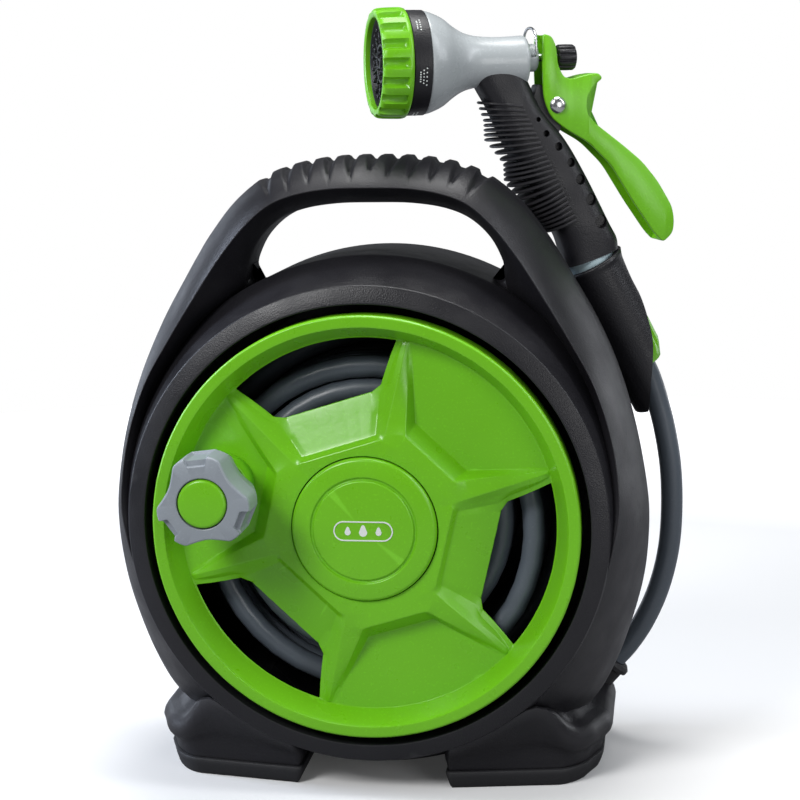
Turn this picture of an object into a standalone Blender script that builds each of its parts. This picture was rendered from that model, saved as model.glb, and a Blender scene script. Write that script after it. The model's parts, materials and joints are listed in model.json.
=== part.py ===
"""Portable garden hose reel with a spray gun in its side holster.

Every length is in metres.  The drum's axis runs front to back along Y and the
front of the reel faces -Y.  Design coordinates are measured from the middle of
the drum's front rim; the REEL_ORIGIN empty carries them to the part's frame,
whose origin is the middle of the footprint on the ground.
"""
import math

import bmesh
import bpy
from mathutils import Matrix, Vector

# ---------------------------------------------------------------- dimensions
GAP = 0.0003                     # running gap between touching pieces
DRUM_HEIGHT = 0.130              # drum axis above the ground
REEL_SHIFT_X = -0.0066           # puts the footprint's middle at the origin
REEL_SHIFT_Y = -0.0535

# casing
OPENING_R = 0.1045               # front mouth around the drum
BEZEL_RIDGE_R = 0.113
HOUSING_R = 0.1238
SHELL_T = 0.003
BEZEL_Y = 0.003                  # front lip of the mouth
RIDGE_Y = 0.006
CONE_BACK_Y = 0.0385             # where the front cone meets the rear housing
SPLIT_Y = 0.060                  # front and rear halves of hoop and feet meet
HOOP_FRONT_TOP_Y = 0.028
HOOP_FRONT_MID_Y = 0.010
FOOT_FRONT_Y = 0.020
HOOP_BACK_Y = 0.078
HOUSING_BACK_Y = 0.118
FOOT_BACK_Y = 0.118
HOOP_CHAMFER_IN = 0.006
HOOP_CHAMFER_DEEP = 0.014
SCREW_SEAT_Y = 0.0735
OPENING_TOP_Z = 0.147            # hand opening under the grip
OPENING_HALF = 0.0625
SOLE_TOP_Z = -0.1215
GROUND_Z = -DRUM_HEIGHT

# drum
DISC_R = 0.100
RIM_BAND = 0.0055
PANEL_R = 0.0885
PANEL_DEPTH = 0.012
DISC_T = 0.003
HUB_R = 0.034
ARM_ANGLE = math.radians(17)     # first of six arms, spaced 60 degrees
CORE_R = 0.045
WOUND_R = 0.088
DRUM_BACK_Y = 0.100
SPINDLE_R = 0.008
TAIL_H = -0.053                  # hose tail, behind the drum's front rim

# knob
KNOB_RADIUS = 0.0700             # crank radius of the knob's axis
KNOB_ANGLE = math.radians(163.8)
KNOB_LENGTH = 0.036
KNOB_R = 0.0225

# hose
HOSE_R = 0.0054

# spray gun, in a frame at the mouth of the holster: S back, N across, T up
HOLSTER_MOUTH = (0.101, 0.092, 0.1148)
GUN_YAW = math.radians(20)
GRIP_TILT = math.radians(28)
HEAD_S = -0.0024                 # head, back along the nozzle from the holster's mouth
NOZZLE_T = 0.0975                # height of the nozzle's axis
GRIP_LEAN = 0.025                # extra backward lean of the handle's skin
FACE = 0.105                     # spray face, forward along the nozzle's axis
DIAL_BACK = 0.0905
DIAL_R = 0.0257
DIAL_NOTCHES = 18
BARREL_R = 0.0112
BARREL_BACK = 0.0305
VALVE_T = 0.099
RIVET_S = -0.0171
RIVET_T = 0.0766
TRIGGER_HALF = 0.0085            # half the lever's width across the gun
HOLSTER_R = 0.0155
HOLSTER_BORE = 0.0130
HOLSTER_L = 0.062
COUPLER_R = 0.0120

FINE = 48                        # steps around large turned pieces
ROUND = 24                       # steps around middling ones
SMALL = 12                       # steps around pins and screws

# ---------------------------------------------------------------- scene set-up
for old in list(bpy.data.objects):
    bpy.data.objects.remove(old, do_unlink=True)

reel = bpy.data.collections.new("garden_hose_reel")
cutters = bpy.data.collections.new("cutters")
bpy.context.scene.collection.children.link(reel)
bpy.context.scene.collection.children.link(cutters)


def material(name, colour, roughness, metallic=0.0):
    mat = bpy.data.materials.new(name)
    mat.use_nodes = True
    shader = mat.node_tree.nodes["Principled BSDF"]
    shader.inputs["Base Color"].default_value = (*colour, 1.0)
    shader.inputs["Roughness"].default_value = roughness
    shader.inputs["Metallic"].default_value = metallic
    return mat


BLACK = material("black_textured_plastic", (0.018, 0.018, 0.022), 0.55)
GREEN = material("green_gloss_plastic", (0.155, 0.450, 0.030), 0.32)
GREY = material("grey_plastic", (0.27, 0.29, 0.30), 0.40)
LIGHT_GREY = material("light_grey_plastic", (0.42, 0.46, 0.48), 0.35)
DARK_RUBBER = material("dark_rubber", (0.03, 0.03, 0.032), 0.75)
HOSE_GREY = material("hose_grey", (0.085, 0.095, 0.110), 0.45)
STEEL = material("bright_steel", (0.60, 0.61, 0.62), 0.28, 1.0)
BRASS = material("brass", (0.65, 0.48, 0.20), 0.30, 1.0)


def empty(name, parent=None, location=(0, 0, 0), rotation=(0, 0, 0)):
    obj = bpy.data.objects.new(name, None)
    reel.objects.link(obj)
    obj.parent = parent
    obj.location = location
    obj.rotation_euler = rotation
    return obj


REEL_ORIGIN = empty("reel_origin", None, (REEL_SHIFT_X, REEL_SHIFT_Y, DRUM_HEIGHT))
# local +Z of the drum's frame points out of the front of the reel
DRUM_AXIS = empty("drum_axis", REEL_ORIGIN, rotation=(math.pi / 2, 0, 0))
KNOB_AT = (KNOB_RADIUS * math.cos(KNOB_ANGLE), KNOB_RADIUS * math.sin(KNOB_ANGLE), 0)
KNOB_AXIS = empty("knob_axis", DRUM_AXIS, KNOB_AT)
GUN = empty("gun_frame", REEL_ORIGIN, HOLSTER_MOUTH, (0, 0, GUN_YAW))
# local +Z of the nozzle's frame points forward along the spray
NOZZLE = empty("nozzle_axis", GUN, (HEAD_S, 0, NOZZLE_T), (0, -math.pi / 2, 0))
VALVE = empty("valve_axis", GUN, (HEAD_S, 0, VALVE_T), (0, math.pi / 2, 0))
# local +Z of the grip's frame points up the grip from the holster's mouth
GRIP = empty("grip_axis", GUN, rotation=(0, -GRIP_TILT, 0))
TRIGGER_AXIS = empty("trigger_axis", GUN, (HEAD_S + RIVET_S, 0, RIVET_T))


# ---------------------------------------------------------------- shape tools
def add(name, mesh, mat, parent, location=(0, 0, 0), rotation=(0, 0, 0)):
    """A piece of the reel, or a cutter when mat is None."""
    obj = bpy.data.objects.new(name, mesh)
    (reel if mat else cutters).objects.link(obj)
    obj.parent = parent
    obj.location = location
    obj.rotation_euler = rotation
    if mat:
        mesh.materials.append(mat)
    else:
        obj.hide_render = True
        obj.display_type = "WIRE"
    return obj


def mesh_from(bm, name, smooth=True):
    bmesh.ops.recalc_face_normals(bm, faces=bm.faces)
    mesh = bpy.data.meshes.new(name)
    bm.to_mesh(mesh)
    bm.free()
    if smooth:
        mesh.shade_smooth()
        mesh.set_sharp_from_angle(angle=math.radians(35))
    return mesh


def turned(name, profile, mat, parent, steps=ROUND, closed=True, **place):
    """A body of revolution about local Z; the profile (radius, height) runs
    down its outer side.  An open profile starts and ends on the axis."""
    mesh = bpy.data.meshes.new(name)
    verts = [(r, 0, z) for r, z in profile]
    edges = [(i, i + 1) for i in range(len(verts) - 1)]
    if closed:
        edges.append((len(verts) - 1, 0))
    mesh.from_pydata(verts, edges, [])
    obj = add(name, mesh, mat, parent, **place)
    screw = obj.modifiers.new("turn", "SCREW")
    screw.axis = "Z"
    screw.steps = steps
    screw.render_steps = steps
    screw.use_merge_vertices = True
    screw.merge_threshold = 0.00001
    screw.use_smooth_shade = True
    return obj


def rod(name, radius, z_low, z_high, mat, parent, steps=SMALL, **place):
    profile = [(0, z_high), (radius, z_high), (radius, z_low), (0, z_low)]
    return turned(name, profile, mat, parent, steps, closed=False, **place)


def ring(name, inner, outer, z_low, z_high, mat, parent, steps=ROUND, **place):
    profile = [(inner, z_high), (outer, z_high), (outer, z_low), (inner, z_low)]
    return turned(name, profile, mat, parent, steps, **place)


def box_mesh(name, low, high, bevel=0.0, segments=2):
    low = Vector(low)
    high = Vector(high)
    bm = bmesh.new()
    bmesh.ops.create_cube(bm, size=1)
    bmesh.ops.scale(bm, vec=high - low, verts=bm.verts)
    bmesh.ops.translate(bm, vec=(low + high) / 2, verts=bm.verts)
    if bevel:
        bmesh.ops.bevel(bm, geom=bm.edges, offset=bevel, segments=segments,
                        affect="EDGES", profile=0.5)
    return mesh_from(bm, name)


def prism_mesh(name, rings):
    """A closed loft through rings of points that all have the same count."""
    bm = bmesh.new()
    loops = [[bm.verts.new(p) for p in points] for points in rings]
    for low, high in zip(loops, loops[1:]):
        for i, corner in enumerate(low):
            j = (i + 1) % len(low)
            bm.faces.new((corner, low[j], high[j], high[i]))
    bm.faces.new(list(reversed(loops[0])))
    bm.faces.new(loops[-1])
    bmesh.ops.triangulate(bm, faces=[f for f in bm.faces if len(f.verts) > 4],
                          ngon_method="EAR_CLIP")
    return mesh_from(bm, name)


def combine(target, tool, operation):
    mod = target.modifiers.new(tool.name, "BOOLEAN")
    mod.operation = operation
    mod.solver = "EXACT"
    mod.object = tool
    return target


def cut(target, *tools):
    for tool in tools:
        combine(target, tool, "DIFFERENCE")


def join(target, *tools):
    for tool in tools:
        combine(target, tool, "UNION")


def smooth_loop(points, per_span, closed=False):
    """Catmull-Rom points through the given ones."""
    points = [Vector(p) for p in points]
    count = len(points)
    result = []
    for i in range(count if closed else count - 1):
        if closed:
            four = [points[(i + k - 1) % count] for k in range(4)]
        else:
            four = [points[min(max(i + k - 1, 0), count - 1)] for k in range(4)]
        p0, p1, p2, p3 = four
        for step in range(per_span):
            t = step / per_span
            result.append(0.5 * ((2 * p1) + (p2 - p0) * t
                                 + (2 * p0 - 5 * p1 + 4 * p2 - p3) * t * t
                                 + (3 * p1 - p0 - 3 * p2 + p3) * t ** 3))
    if not closed:
        result.append(points[-1])
    return result


def blend(value, low, high):
    """0 below low, 1 above high, with a smooth step between."""
    t = min(max((value - low) / (high - low), 0.0), 1.0)
    return t * t * (3 - 2 * t)


def chamfer_width(z):
    """The hoop's chamfer, which fades out above the flat-sided feet."""
    return HOOP_CHAMFER_IN * (1 - 0.85 * blend(-z, 0.090, 0.106))


def inset_loop(loop, distance):
    """Moves a closed (x, z) loop, listed clockwise from the front, inward."""
    moved = []
    for i, point in enumerate(loop):
        along = (loop[(i + 1) % len(loop)] - loop[i - 1]).normalized()
        moved.append(point + Vector((along.y, -along.x)) * distance(point.y))
    return moved


# ---------------------------------------------------------------- casing
# right half of the hoop and foot outline, from the grip down to the arch
HOOP_HALF = [(0.020, 0.1690), (0.038, 0.1660), (0.053, 0.1600), (0.068, 0.1480),
             (0.080, 0.1330), (0.0925, 0.1130), (0.1050, 0.0910), (0.1150, 0.0680),
             (0.1230, 0.0410), (0.1285, 0.0120), (0.1300, -0.0070), (0.1285, -0.0280),
             (0.1240, -0.0480), (0.1160, -0.0720), (0.1060, -0.0915)]
FOOT_HALF = [(0.1120, -0.1000), (0.1110, -0.1080), (0.1075, -0.1140),
             (0.1060, SOLE_TOP_Z), (0.0360, SOLE_TOP_Z), (0.0310, -0.1165)]
ARCH_R = 0.1205                  # underside between the feet, inside the housing wall
OPENING_HALF_LOOP = [(0.022, OPENING_TOP_Z), (0.040, 0.1430), (0.052, 0.1350),
                     (0.060, 0.1240), (OPENING_HALF, 0.1130), (0.0600, 0.1050)]
OPENING_BOTTOM_R = 0.1195


def hoop_outline():
    """Closed silhouette of hoop and feet, clockwise seen from the front."""
    upper = smooth_loop([(-0.020, 0.1690), (0.0, 0.1697)] + HOOP_HALF, 2)
    right = upper[2:] + [Vector(p) for p in FOOT_HALF]
    arch_start = math.atan2(-0.1165, 0.0310)
    for k in range(5):
        angle = arch_start + (-math.pi / 2 - arch_start) * (k + 1) / 5
        right.append(Vector((ARCH_R * math.cos(angle), ARCH_R * math.sin(angle))))
    left = [Vector((-p.x, p.y)) for p in reversed(right[1:-1])]
    return right + left


def opening_outline():
    """Closed outline of the hand opening, clockwise seen from the front."""
    right = smooth_loop([(-0.022, OPENING_TOP_Z), (0.0, 0.1475)] + OPENING_HALF_LOOP, 2)[2:]
    start = math.atan2(0.1050, 0.0600)
    for k in range(6):
        angle = start + (math.pi / 2 - start) * (k + 1) / 6
        right.append(Vector((OPENING_BOTTOM_R * math.cos(angle),
                             OPENING_BOTTOM_R * math.sin(angle))))
    left = [Vector((-p.x, p.y)) for p in reversed(right[1:-1])]
    return right + left


def hoop_front_y(z):
    top = HOOP_FRONT_MID_Y + (HOOP_FRONT_TOP_Y - HOOP_FRONT_MID_Y) * blend(z, 0.0, 0.120)
    return top + (FOOT_FRONT_Y - HOOP_FRONT_MID_Y) * blend(-z, 0.080, 0.115)


def hoop_back_y(z):
    return HOOP_BACK_Y + (FOOT_BACK_Y - HOOP_BACK_Y) * blend(-z, 0.085, 0.098)


def hoop_shell(name, face_y, split_y, inward):
    """Half of the hoop and feet: an open tray with its rim at the split.
    inward is +1 for the front half, whose chamfer runs back, -1 for the rear."""
    outer = hoop_outline()
    hole = opening_outline()
    bm = bmesh.new()

    def row(loop, depth):
        return [bm.verts.new((p.x, depth(p.y), p.y)) for p in loop]

    def band(first, second):
        for i in range(len(first)):
            j = (i + 1) % len(first)
            bm.faces.new((first[i], first[j], second[j], second[i]))

    deep = HOOP_CHAMFER_DEEP * inward
    rim = row(outer, lambda z: split_y)
    shoulder = row(outer, lambda z: face_y(z) + deep)
    face = row(inset_loop(outer, chamfer_width), face_y)
    hole_face = row(inset_loop(hole, lambda z: -chamfer_width(z)), face_y)
    hole_side = row(hole, lambda z: face_y(z) + deep)
    hole_rim = row(hole, lambda z: split_y)
    band(rim, shoulder)
    band(shoulder, face)
    band(hole_face, hole_side)
    band(hole_side, hole_rim)
    bm.edges.ensure_lookup_table()
    loops = set(face) | set(hole_face)
    edge_ring = [e for e in bm.edges if e.verts[0] in loops and e.verts[1] in loops
                 and len(e.link_faces) == 1]
    bmesh.ops.triangle_fill(bm, use_beauty=True, use_dissolve=False, edges=edge_ring)
    bmesh.ops.recalc_face_normals(bm, faces=bm.faces)
    # every face must look out of the tray before it is thickened
    probe = max(bm.faces, key=lambda f: -inward * f.calc_center_median().y)
    if probe.normal.y * inward > 0:
        bmesh.ops.reverse_faces(bm, faces=bm.faces)
    mesh = bpy.data.meshes.new(name)
    bm.to_mesh(mesh)
    bm.free()
    mesh.shade_smooth()
    mesh.set_sharp_from_angle(angle=math.radians(35))
    obj = add(name, mesh, BLACK, REEL_ORIGIN)
    solid = obj.modifiers.new("wall", "SOLIDIFY")
    solid.thickness = SHELL_T
    solid.offset = -1
    return obj


def drum_space(name, profile):
    """Turned cutter that clears the inside of the casing."""
    return turned(name, profile, None, DRUM_AXIS, FINE, closed=False)


SCREW_SPOTS = [(0.0, 0.1580), (-0.0775, 0.1200), (0.0775, 0.1200),
               (-0.0980, 0.0900), (0.0980, 0.0900),
               (-0.0700, -0.1140), (0.0700, -0.1140)]


def post_tool(name, radius, start, end):
    """One cutter with a cylinder along Y at each screw; start and end are
    functions that give its ends from the screw's height."""
    bm = bmesh.new()
    for x, z in SCREW_SPOTS:
        low, high = start(z), end(z)
        turn = Matrix.Translation((x, (low + high) / 2, z)) @ Matrix.Rotation(
            math.pi / 2, 4, "X")
        bmesh.ops.create_cone(bm, cap_ends=True, segments=6, radius1=radius,
                              radius2=radius, depth=high - low, matrix=turn)
    return add(name, mesh_from(bm, name), None, REEL_ORIGIN)


def build_casing():
    front = hoop_shell("front_casing", hoop_front_y, SPLIT_Y, 1)
    rear = hoop_shell("rear_casing", hoop_back_y, SPLIT_Y + GAP, -1)

    wall_mid = HOUSING_R - SHELL_T / 2
    wall_clear = HOUSING_R + 0.0005
    cut(front, drum_space("front_drum_space", [
        (0, 0.020), (0.1085, 0.020), (0.1085, -0.0070), (0.1115, -0.0080),
        (wall_mid, -CONE_BACK_Y), (wall_clear, -CONE_BACK_Y),
        (wall_clear, -SPLIT_Y - 0.005), (0, -SPLIT_Y - 0.005)]))
    cone = turned("front_cone", [
        (OPENING_R, -BEZEL_Y), (BEZEL_RIDGE_R, -RIDGE_Y), (HOUSING_R, -CONE_BACK_Y),
        (HOUSING_R - SHELL_T, -CONE_BACK_Y), (BEZEL_RIDGE_R - 0.0022, -RIDGE_Y - 0.0035),
        (OPENING_R + SHELL_T, -RIDGE_Y - 0.0025), (OPENING_R + SHELL_T, -0.018),
        (OPENING_R, -0.018)], None, DRUM_AXIS, FINE)
    cut(rear, drum_space("rear_drum_space", [
        (0, -0.030), (wall_mid, -0.030), (wall_mid, -HOUSING_BACK_Y + 0.0010),
        (0, -HOUSING_BACK_Y + 0.0010)]))
    housing = turned("rear_housing", [
        (HOUSING_R, -CONE_BACK_Y - 0.0005), (HOUSING_R - 0.0006, -HOUSING_BACK_Y + 0.006),
        (HOUSING_R - 0.0026, -HOUSING_BACK_Y + 0.0018), (HOUSING_R - 0.007, -HOUSING_BACK_Y),
        (0.0125, -HOUSING_BACK_Y), (0.0125, -HOUSING_BACK_Y + SHELL_T),
        (HOUSING_R - 0.008, -HOUSING_BACK_Y + SHELL_T),
        (HOUSING_R - SHELL_T - 0.0006, -HOUSING_BACK_Y + 0.008),
        (HOUSING_R - SHELL_T, -CONE_BACK_Y - 0.0005)], None, DRUM_AXIS, FINE)

    join(front, cone, post_tool("front_posts", 0.0045, lambda z: hoop_front_y(z) + 0.0012,
                                lambda z: SPLIT_Y))
    join(rear, housing, post_tool("rear_posts", 0.0055, lambda z: SPLIT_Y + GAP,
                                  lambda z: hoop_back_y(z) - 0.0012))

    pilot = post_tool("pilot_holes", 0.0019, lambda z: SPLIT_Y - 0.014,
                      lambda z: SCREW_SEAT_Y + 0.001)
    heads = post_tool("head_recesses", 0.0040, lambda z: SCREW_SEAT_Y,
                      lambda z: FOOT_BACK_Y + 0.010)
    cut(front, pilot)
    cut(rear, pilot, heads)

    # a scoop into the shoulder of each foot, open to the outside and upward
    for side, label in ((-1, "left"), (1, "right")):
        low = (min(side * 0.098, side * 0.108), 0.046, -0.110)
        high = (max(side * 0.098, side * 0.108), 0.082, -0.080)
        scoop = add(f"foot_scoop_{label}", box_mesh("foot_scoop", low, high, 0.003), None,
                    REEL_ORIGIN)
        cut(front, scoop)
        cut(rear, scoop)
    for casing in (front, rear):
        weld = casing.modifiers.new("weld", "WELD")
        weld.merge_threshold = 0.00002
    return front, rear


def build_casing_screws():
    for i, (x, z) in enumerate(SCREW_SPOTS, start=1):
        profile = [(0, 0.0020), (0.0024, 0.0020), (0.0033, 0.0), (0.0014, 0.0),
                   (0.0014, -0.0250), (0, -0.0265)]
        turned(f"casing_screw_{i}", profile, STEEL, REEL_ORIGIN, 8, closed=False,
               location=(x, SCREW_SEAT_Y + GAP, z), rotation=(-math.pi / 2, 0, 0))


def build_soles():
    for side, label in ((-1, "left"), (1, "right")):
        low = (min(side * 0.0345, side * 0.1062), FOOT_FRONT_Y - 0.002, GROUND_Z)
        high = (max(side * 0.0345, side * 0.1062), FOOT_BACK_Y + 0.001, SOLE_TOP_Z - GAP)
        add(f"foot_sole_{label}", box_mesh("foot_sole", low, high, 0.0035), DARK_RUBBER,
            REEL_ORIGIN)


# ---------------------------------------------------------------- drum
POCKET_ANGLES = [ARM_ANGLE + math.radians(30 + 60 * k) for k in range(6)]
WINDOW_POCKETS = (1, 3, 5)       # open windows, every second pocket


def polar(radius, angle, height):
    return (radius * math.cos(angle), radius * math.sin(angle), height)


def star_ring(tip_r, tip_h, notch_r, notch_half, notch_h):
    """Outline of the six-armed star: a tip, then the two ends of a notch."""
    points = []
    for centre in POCKET_ANGLES:
        points.append(polar(tip_r, centre - math.radians(30), tip_h))
        points.append(polar(notch_r, centre - notch_half, notch_h))
        points.append(polar(notch_r, centre + notch_half, notch_h))
    return points


def window_mesh():
    """Prisms through the three windows: an outer arc and a straight inner edge."""
    bm = bmesh.new()
    for k in WINDOW_POCKETS:
        centre = POCKET_ANGLES[k]
        outline = [polar(PANEL_R - 0.001, centre + math.radians(a), 0)
                   for a in (-25.5, -18, -9, 0, 9, 18, 25.5)]
        outline += [polar(0.071, centre + math.radians(23.5), 0),
                    polar(0.0645, centre + math.radians(18.0), 0),
                    polar(0.0645, centre - math.radians(18.0), 0),
                    polar(0.071, centre - math.radians(23.5), 0)]
        loops = [[bm.verts.new((x, y, h)) for x, y, _ in outline] for h in (-0.030, 0.010)]
        for i in range(len(outline)):
            j = (i + 1) % len(outline)
            bm.faces.new((loops[0][i], loops[0][j], loops[1][j], loops[1][i]))
        bm.faces.new(list(reversed(loops[0])))
        bm.faces.new(loops[1])
    return mesh_from(bm, "windows")


def build_drum():
    floor = -PANEL_DEPTH
    disc = turned("drum_front_flange", [
        (DISC_R - 0.0008, 0.0), (DISC_R, -0.0008), (DISC_R, floor - DISC_T),
        (0.0122, floor - DISC_T), (0.0122, floor), (PANEL_R, floor),
        (DISC_R - RIM_BAND, 0.0)], GREEN, DRUM_AXIS, FINE)
    star = add("star_relief", prism_mesh("star_relief", [
        star_ring(PANEL_R + 0.001, floor - 0.001, 0.0545, math.radians(17.5), floor - 0.001),
        star_ring(PANEL_R - 0.001, -0.0075, 0.0478, math.radians(19.5), -0.0035),
        [polar(0.040, math.atan2(y, x), -0.0030) for x, y, _ in star_ring(
            1, 0, 1, math.radians(19.5), 0)]]), None, DRUM_AXIS)
    boss = rod("knob_boss", 0.0135, floor - 0.001, 0.0006, None, KNOB_AXIS, ROUND)
    join(disc, star, boss)
    cut(disc, add("windows", window_mesh(), None, DRUM_AXIS),
        rod("hub_recess", HUB_R + 0.0004, -0.0095, 0.010, None, DRUM_AXIS, FINE),
        rod("hub_bore", 0.0122, -0.030, 0.010, None, DRUM_AXIS, ROUND),
        rod("knob_bore", 0.0040, -0.030, 0.010, None, KNOB_AXIS))

    turned("hub_cap", [(0, 0.0012), (0.0232, 0.0006), (0.0240, -0.0002), (0.0248, 0.0004),
                       (0.0330, -0.0008), (HUB_R, -0.0020), (HUB_R, -0.0045), (0, -0.0045)],
           GREEN, DRUM_AXIS, 36, closed=False)

    # drum core: a tube with a web at each end, holding the two bushes
    web_front = floor - DISC_T - GAP
    web_back = -DRUM_BACK_Y
    core = turned("drum_core", [
        (CORE_R, web_front), (CORE_R, web_back), (CORE_R - 0.0028, web_back),
        (CORE_R - 0.0028, web_front - 0.003), (0.0122, web_front - 0.003),
        (0.0122, web_front)], BLACK, DRUM_AXIS, ROUND)
    turned("drum_rear_flange", [
        (DISC_R, web_back - GAP), (DISC_R, web_back - 0.0035), (DISC_R - 0.004, web_back - 0.0055),
        (CORE_R, web_back - 0.0040), (0.0122, web_back - 0.0040), (0.0122, web_back - GAP)],
        BLACK, DRUM_AXIS, 36)
    ring("front_bush", SPINDLE_R + 0.0003, 0.0119, web_front - 0.003, -0.0115, BRASS, DRUM_AXIS)
    ring("rear_bush", SPINDLE_R + 0.0003, 0.0119, web_back - 0.0045, web_back + 0.004, BRASS,
         DRUM_AXIS)

    # water journal: a sleeve on the spindle whose tail passes through the core to the hose
    cut(core, rod("tail_port", 0.0056, 0.030, 0.055, None, DRUM_AXIS,
                  location=(0, 0, TAIL_H), rotation=(math.pi / 2, 0, 0)))
    journal = ring("water_journal", SPINDLE_R + 0.0003, 0.0125, -0.066, -0.040, LIGHT_GREY,
                   DRUM_AXIS)
    tail = rod("tail_blank", 0.0050, 0.0095, CORE_R, None, DRUM_AXIS,
               location=(0, 0, TAIL_H), rotation=(math.pi / 2, 0, 0))
    bore = rod("tail_bore", 0.0030, 0.0, CORE_R + 0.010, None, DRUM_AXIS,
               location=(0, 0, TAIL_H), rotation=(math.pi / 2, 0, 0))
    join(journal, tail)
    cut(journal, bore)

    # three screws hold the front flange to the core, under the hub cap
    for k in range(3):
        angle = math.radians(90 + 120 * k)
        turned(f"drum_screw_{k + 1}", [
            (0, -0.0050), (0.0024, -0.0050), (0.0030, -0.0062), (0.0030, -0.0092), (0, -0.0092)],
            STEEL, DRUM_AXIS, 12, closed=False, location=polar(0.026, angle, 0))

    turned("hose_wound", [
        (WOUND_R, web_front - 0.0012), (WOUND_R, web_back + 0.0008),
        (CORE_R + 0.0008, web_back + 0.0008), (CORE_R + 0.0008, web_front - 0.0012)],
        HOSE_GREY, DRUM_AXIS, 36)


def build_spindle():
    """The fixed water spindle: inlet at the back, retained at the front."""
    spindle = turned("inlet_spindle", [
        (0, -0.0125), (0.0055, -0.0125), (SPINDLE_R, -0.0150), (SPINDLE_R, -0.1128),
        (0.0180, -0.1128), (0.0180, -0.1146), (0.0120, -0.1146), (0.0120, -0.1260),
        (0.0058, -0.1260), (0.0050, -0.0600), (0, -0.0600)],
        LIGHT_GREY, DRUM_AXIS, ROUND, closed=False)
    grooves = [ring(f"seal_groove_{i}", 0.0064, 0.0100, z - 0.0014, z + 0.0014, None, DRUM_AXIS)
               for i, z in ((1, -0.0435), (2, -0.0610))]
    cut(spindle, *grooves)
    for i, z in ((1, -0.0435), (2, -0.0610)):
        ring(f"seal_ring_{i}", 0.0066, SPINDLE_R + 0.0001, z - 0.0011, z + 0.0011,
             DARK_RUBBER, DRUM_AXIS)
    ring("retaining_washer", 0.0024, 0.0110, -0.0112, -0.0100, STEEL, DRUM_AXIS)
    turned("retaining_screw", [
        (0, -0.0060), (0.0035, -0.0060), (0.0045, -0.0075), (0.0045, -0.0097), (0, -0.0097)],
        STEEL, DRUM_AXIS, 16, closed=False)
    turned("inlet_nut", [
        (0.0160, -0.1185), (0.0160, -0.1265), (0.0150, -0.1280), (0.0123, -0.1280),
        (0.0123, -0.1185)], GREY, DRUM_AXIS, 20)
    turned("inlet_nipple", [
        (0.0118, -0.1264), (0.0118, -0.1290), (0.0098, -0.1300), (0.0082, -0.1330),
        (0.0082, -0.1400), (0.0092, -0.1410), (0.0092, -0.1440), (0.0062, -0.1440),
        (0.0062, -0.1264)], GREEN, DRUM_AXIS, ROUND)


# ---------------------------------------------------------------- knob
def knob_ring(radius, lobe, height):
    """Three broad lobes with shallow waists between them."""
    points = []
    for k in range(27):
        angle = math.tau * k / 27
        wave = math.cos(3 * (angle - math.radians(100)))
        points.append(polar(radius + lobe * wave, angle, height))
    return points


def build_knob():
    base = 0.0012
    knob = add("crank_knob", prism_mesh("crank_knob", [
        knob_ring(0.0130, 0.0, base), knob_ring(0.0150, 0.0008, base + 0.012),
        knob_ring(KNOB_R - 0.0020, 0.0018, base + 0.024),
        knob_ring(KNOB_R - 0.0020, 0.0018, KNOB_LENGTH - 0.002),
        knob_ring(KNOB_R - 0.0040, 0.0016, KNOB_LENGTH)]), GREY, KNOB_AXIS)
    cut(knob, rod("cap_seat", 0.0118, KNOB_LENGTH - 0.0035, 0.050, None, KNOB_AXIS, ROUND),
        rod("knob_counterbore", 0.0060, KNOB_LENGTH - 0.0100, 0.050, None, KNOB_AXIS, ROUND),
        rod("pin_bore", 0.0036, -0.010, 0.050, None, KNOB_AXIS))
    turned("knob_cap", [
        (0, KNOB_LENGTH + 0.0010), (0.0095, KNOB_LENGTH + 0.0006), (0.0115, KNOB_LENGTH - 0.0008),
        (0.0115, KNOB_LENGTH - 0.0032), (0, KNOB_LENGTH - 0.0032)], GREEN, KNOB_AXIS,
        ROUND, closed=False)
    # the pin is pressed through the flange and headed inside the knob
    turned("knob_pin", [
        (0, KNOB_LENGTH - 0.0050), (0.0050, KNOB_LENGTH - 0.0050), (0.0055, KNOB_LENGTH - 0.0060),
        (0.0055, KNOB_LENGTH - 0.0095), (0.0033, KNOB_LENGTH - 0.0095), (0.0033, -0.0120),
        (0.0036, -0.0120), (0.0036, -0.0150), (0, -0.0150)], STEEL, KNOB_AXIS, SMALL,
        closed=False)


# ---------------------------------------------------------------- holster
def build_holster():
    holster = turned("gun_holster", [
        (HOLSTER_R, 0.0), (HOLSTER_R, -HOLSTER_L * 0.6), (HOLSTER_R - 0.0010, -HOLSTER_L),
        (HOLSTER_BORE, -HOLSTER_L), (HOLSTER_BORE, 0.0)], BLACK, GRIP, ROUND)
    bridge = add("holster_bridge", box_mesh(
        "holster_bridge", (0.088, 0.1000, 0.062), (0.1120, 0.1150, 0.086), 0.002), None,
        REEL_ORIGIN)
    bore = rod("holster_clear", HOLSTER_BORE, -0.090, 0.020, None, GRIP, ROUND)
    housing_clear = rod("housing_clear", HOUSING_R + GAP, -0.130, -0.030, None, DRUM_AXIS, FINE)
    join(holster, bridge)
    cut(holster, bore, housing_clear)


# ---------------------------------------------------------------- spray gun
BARREL_OUTLINE = [(0.0155, DIAL_BACK - 0.0245), (0.0128, DIAL_BACK - 0.0290),
                  (0.0114, DIAL_BACK - 0.0350), (BARREL_R, DIAL_BACK - 0.0420)]


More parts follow.
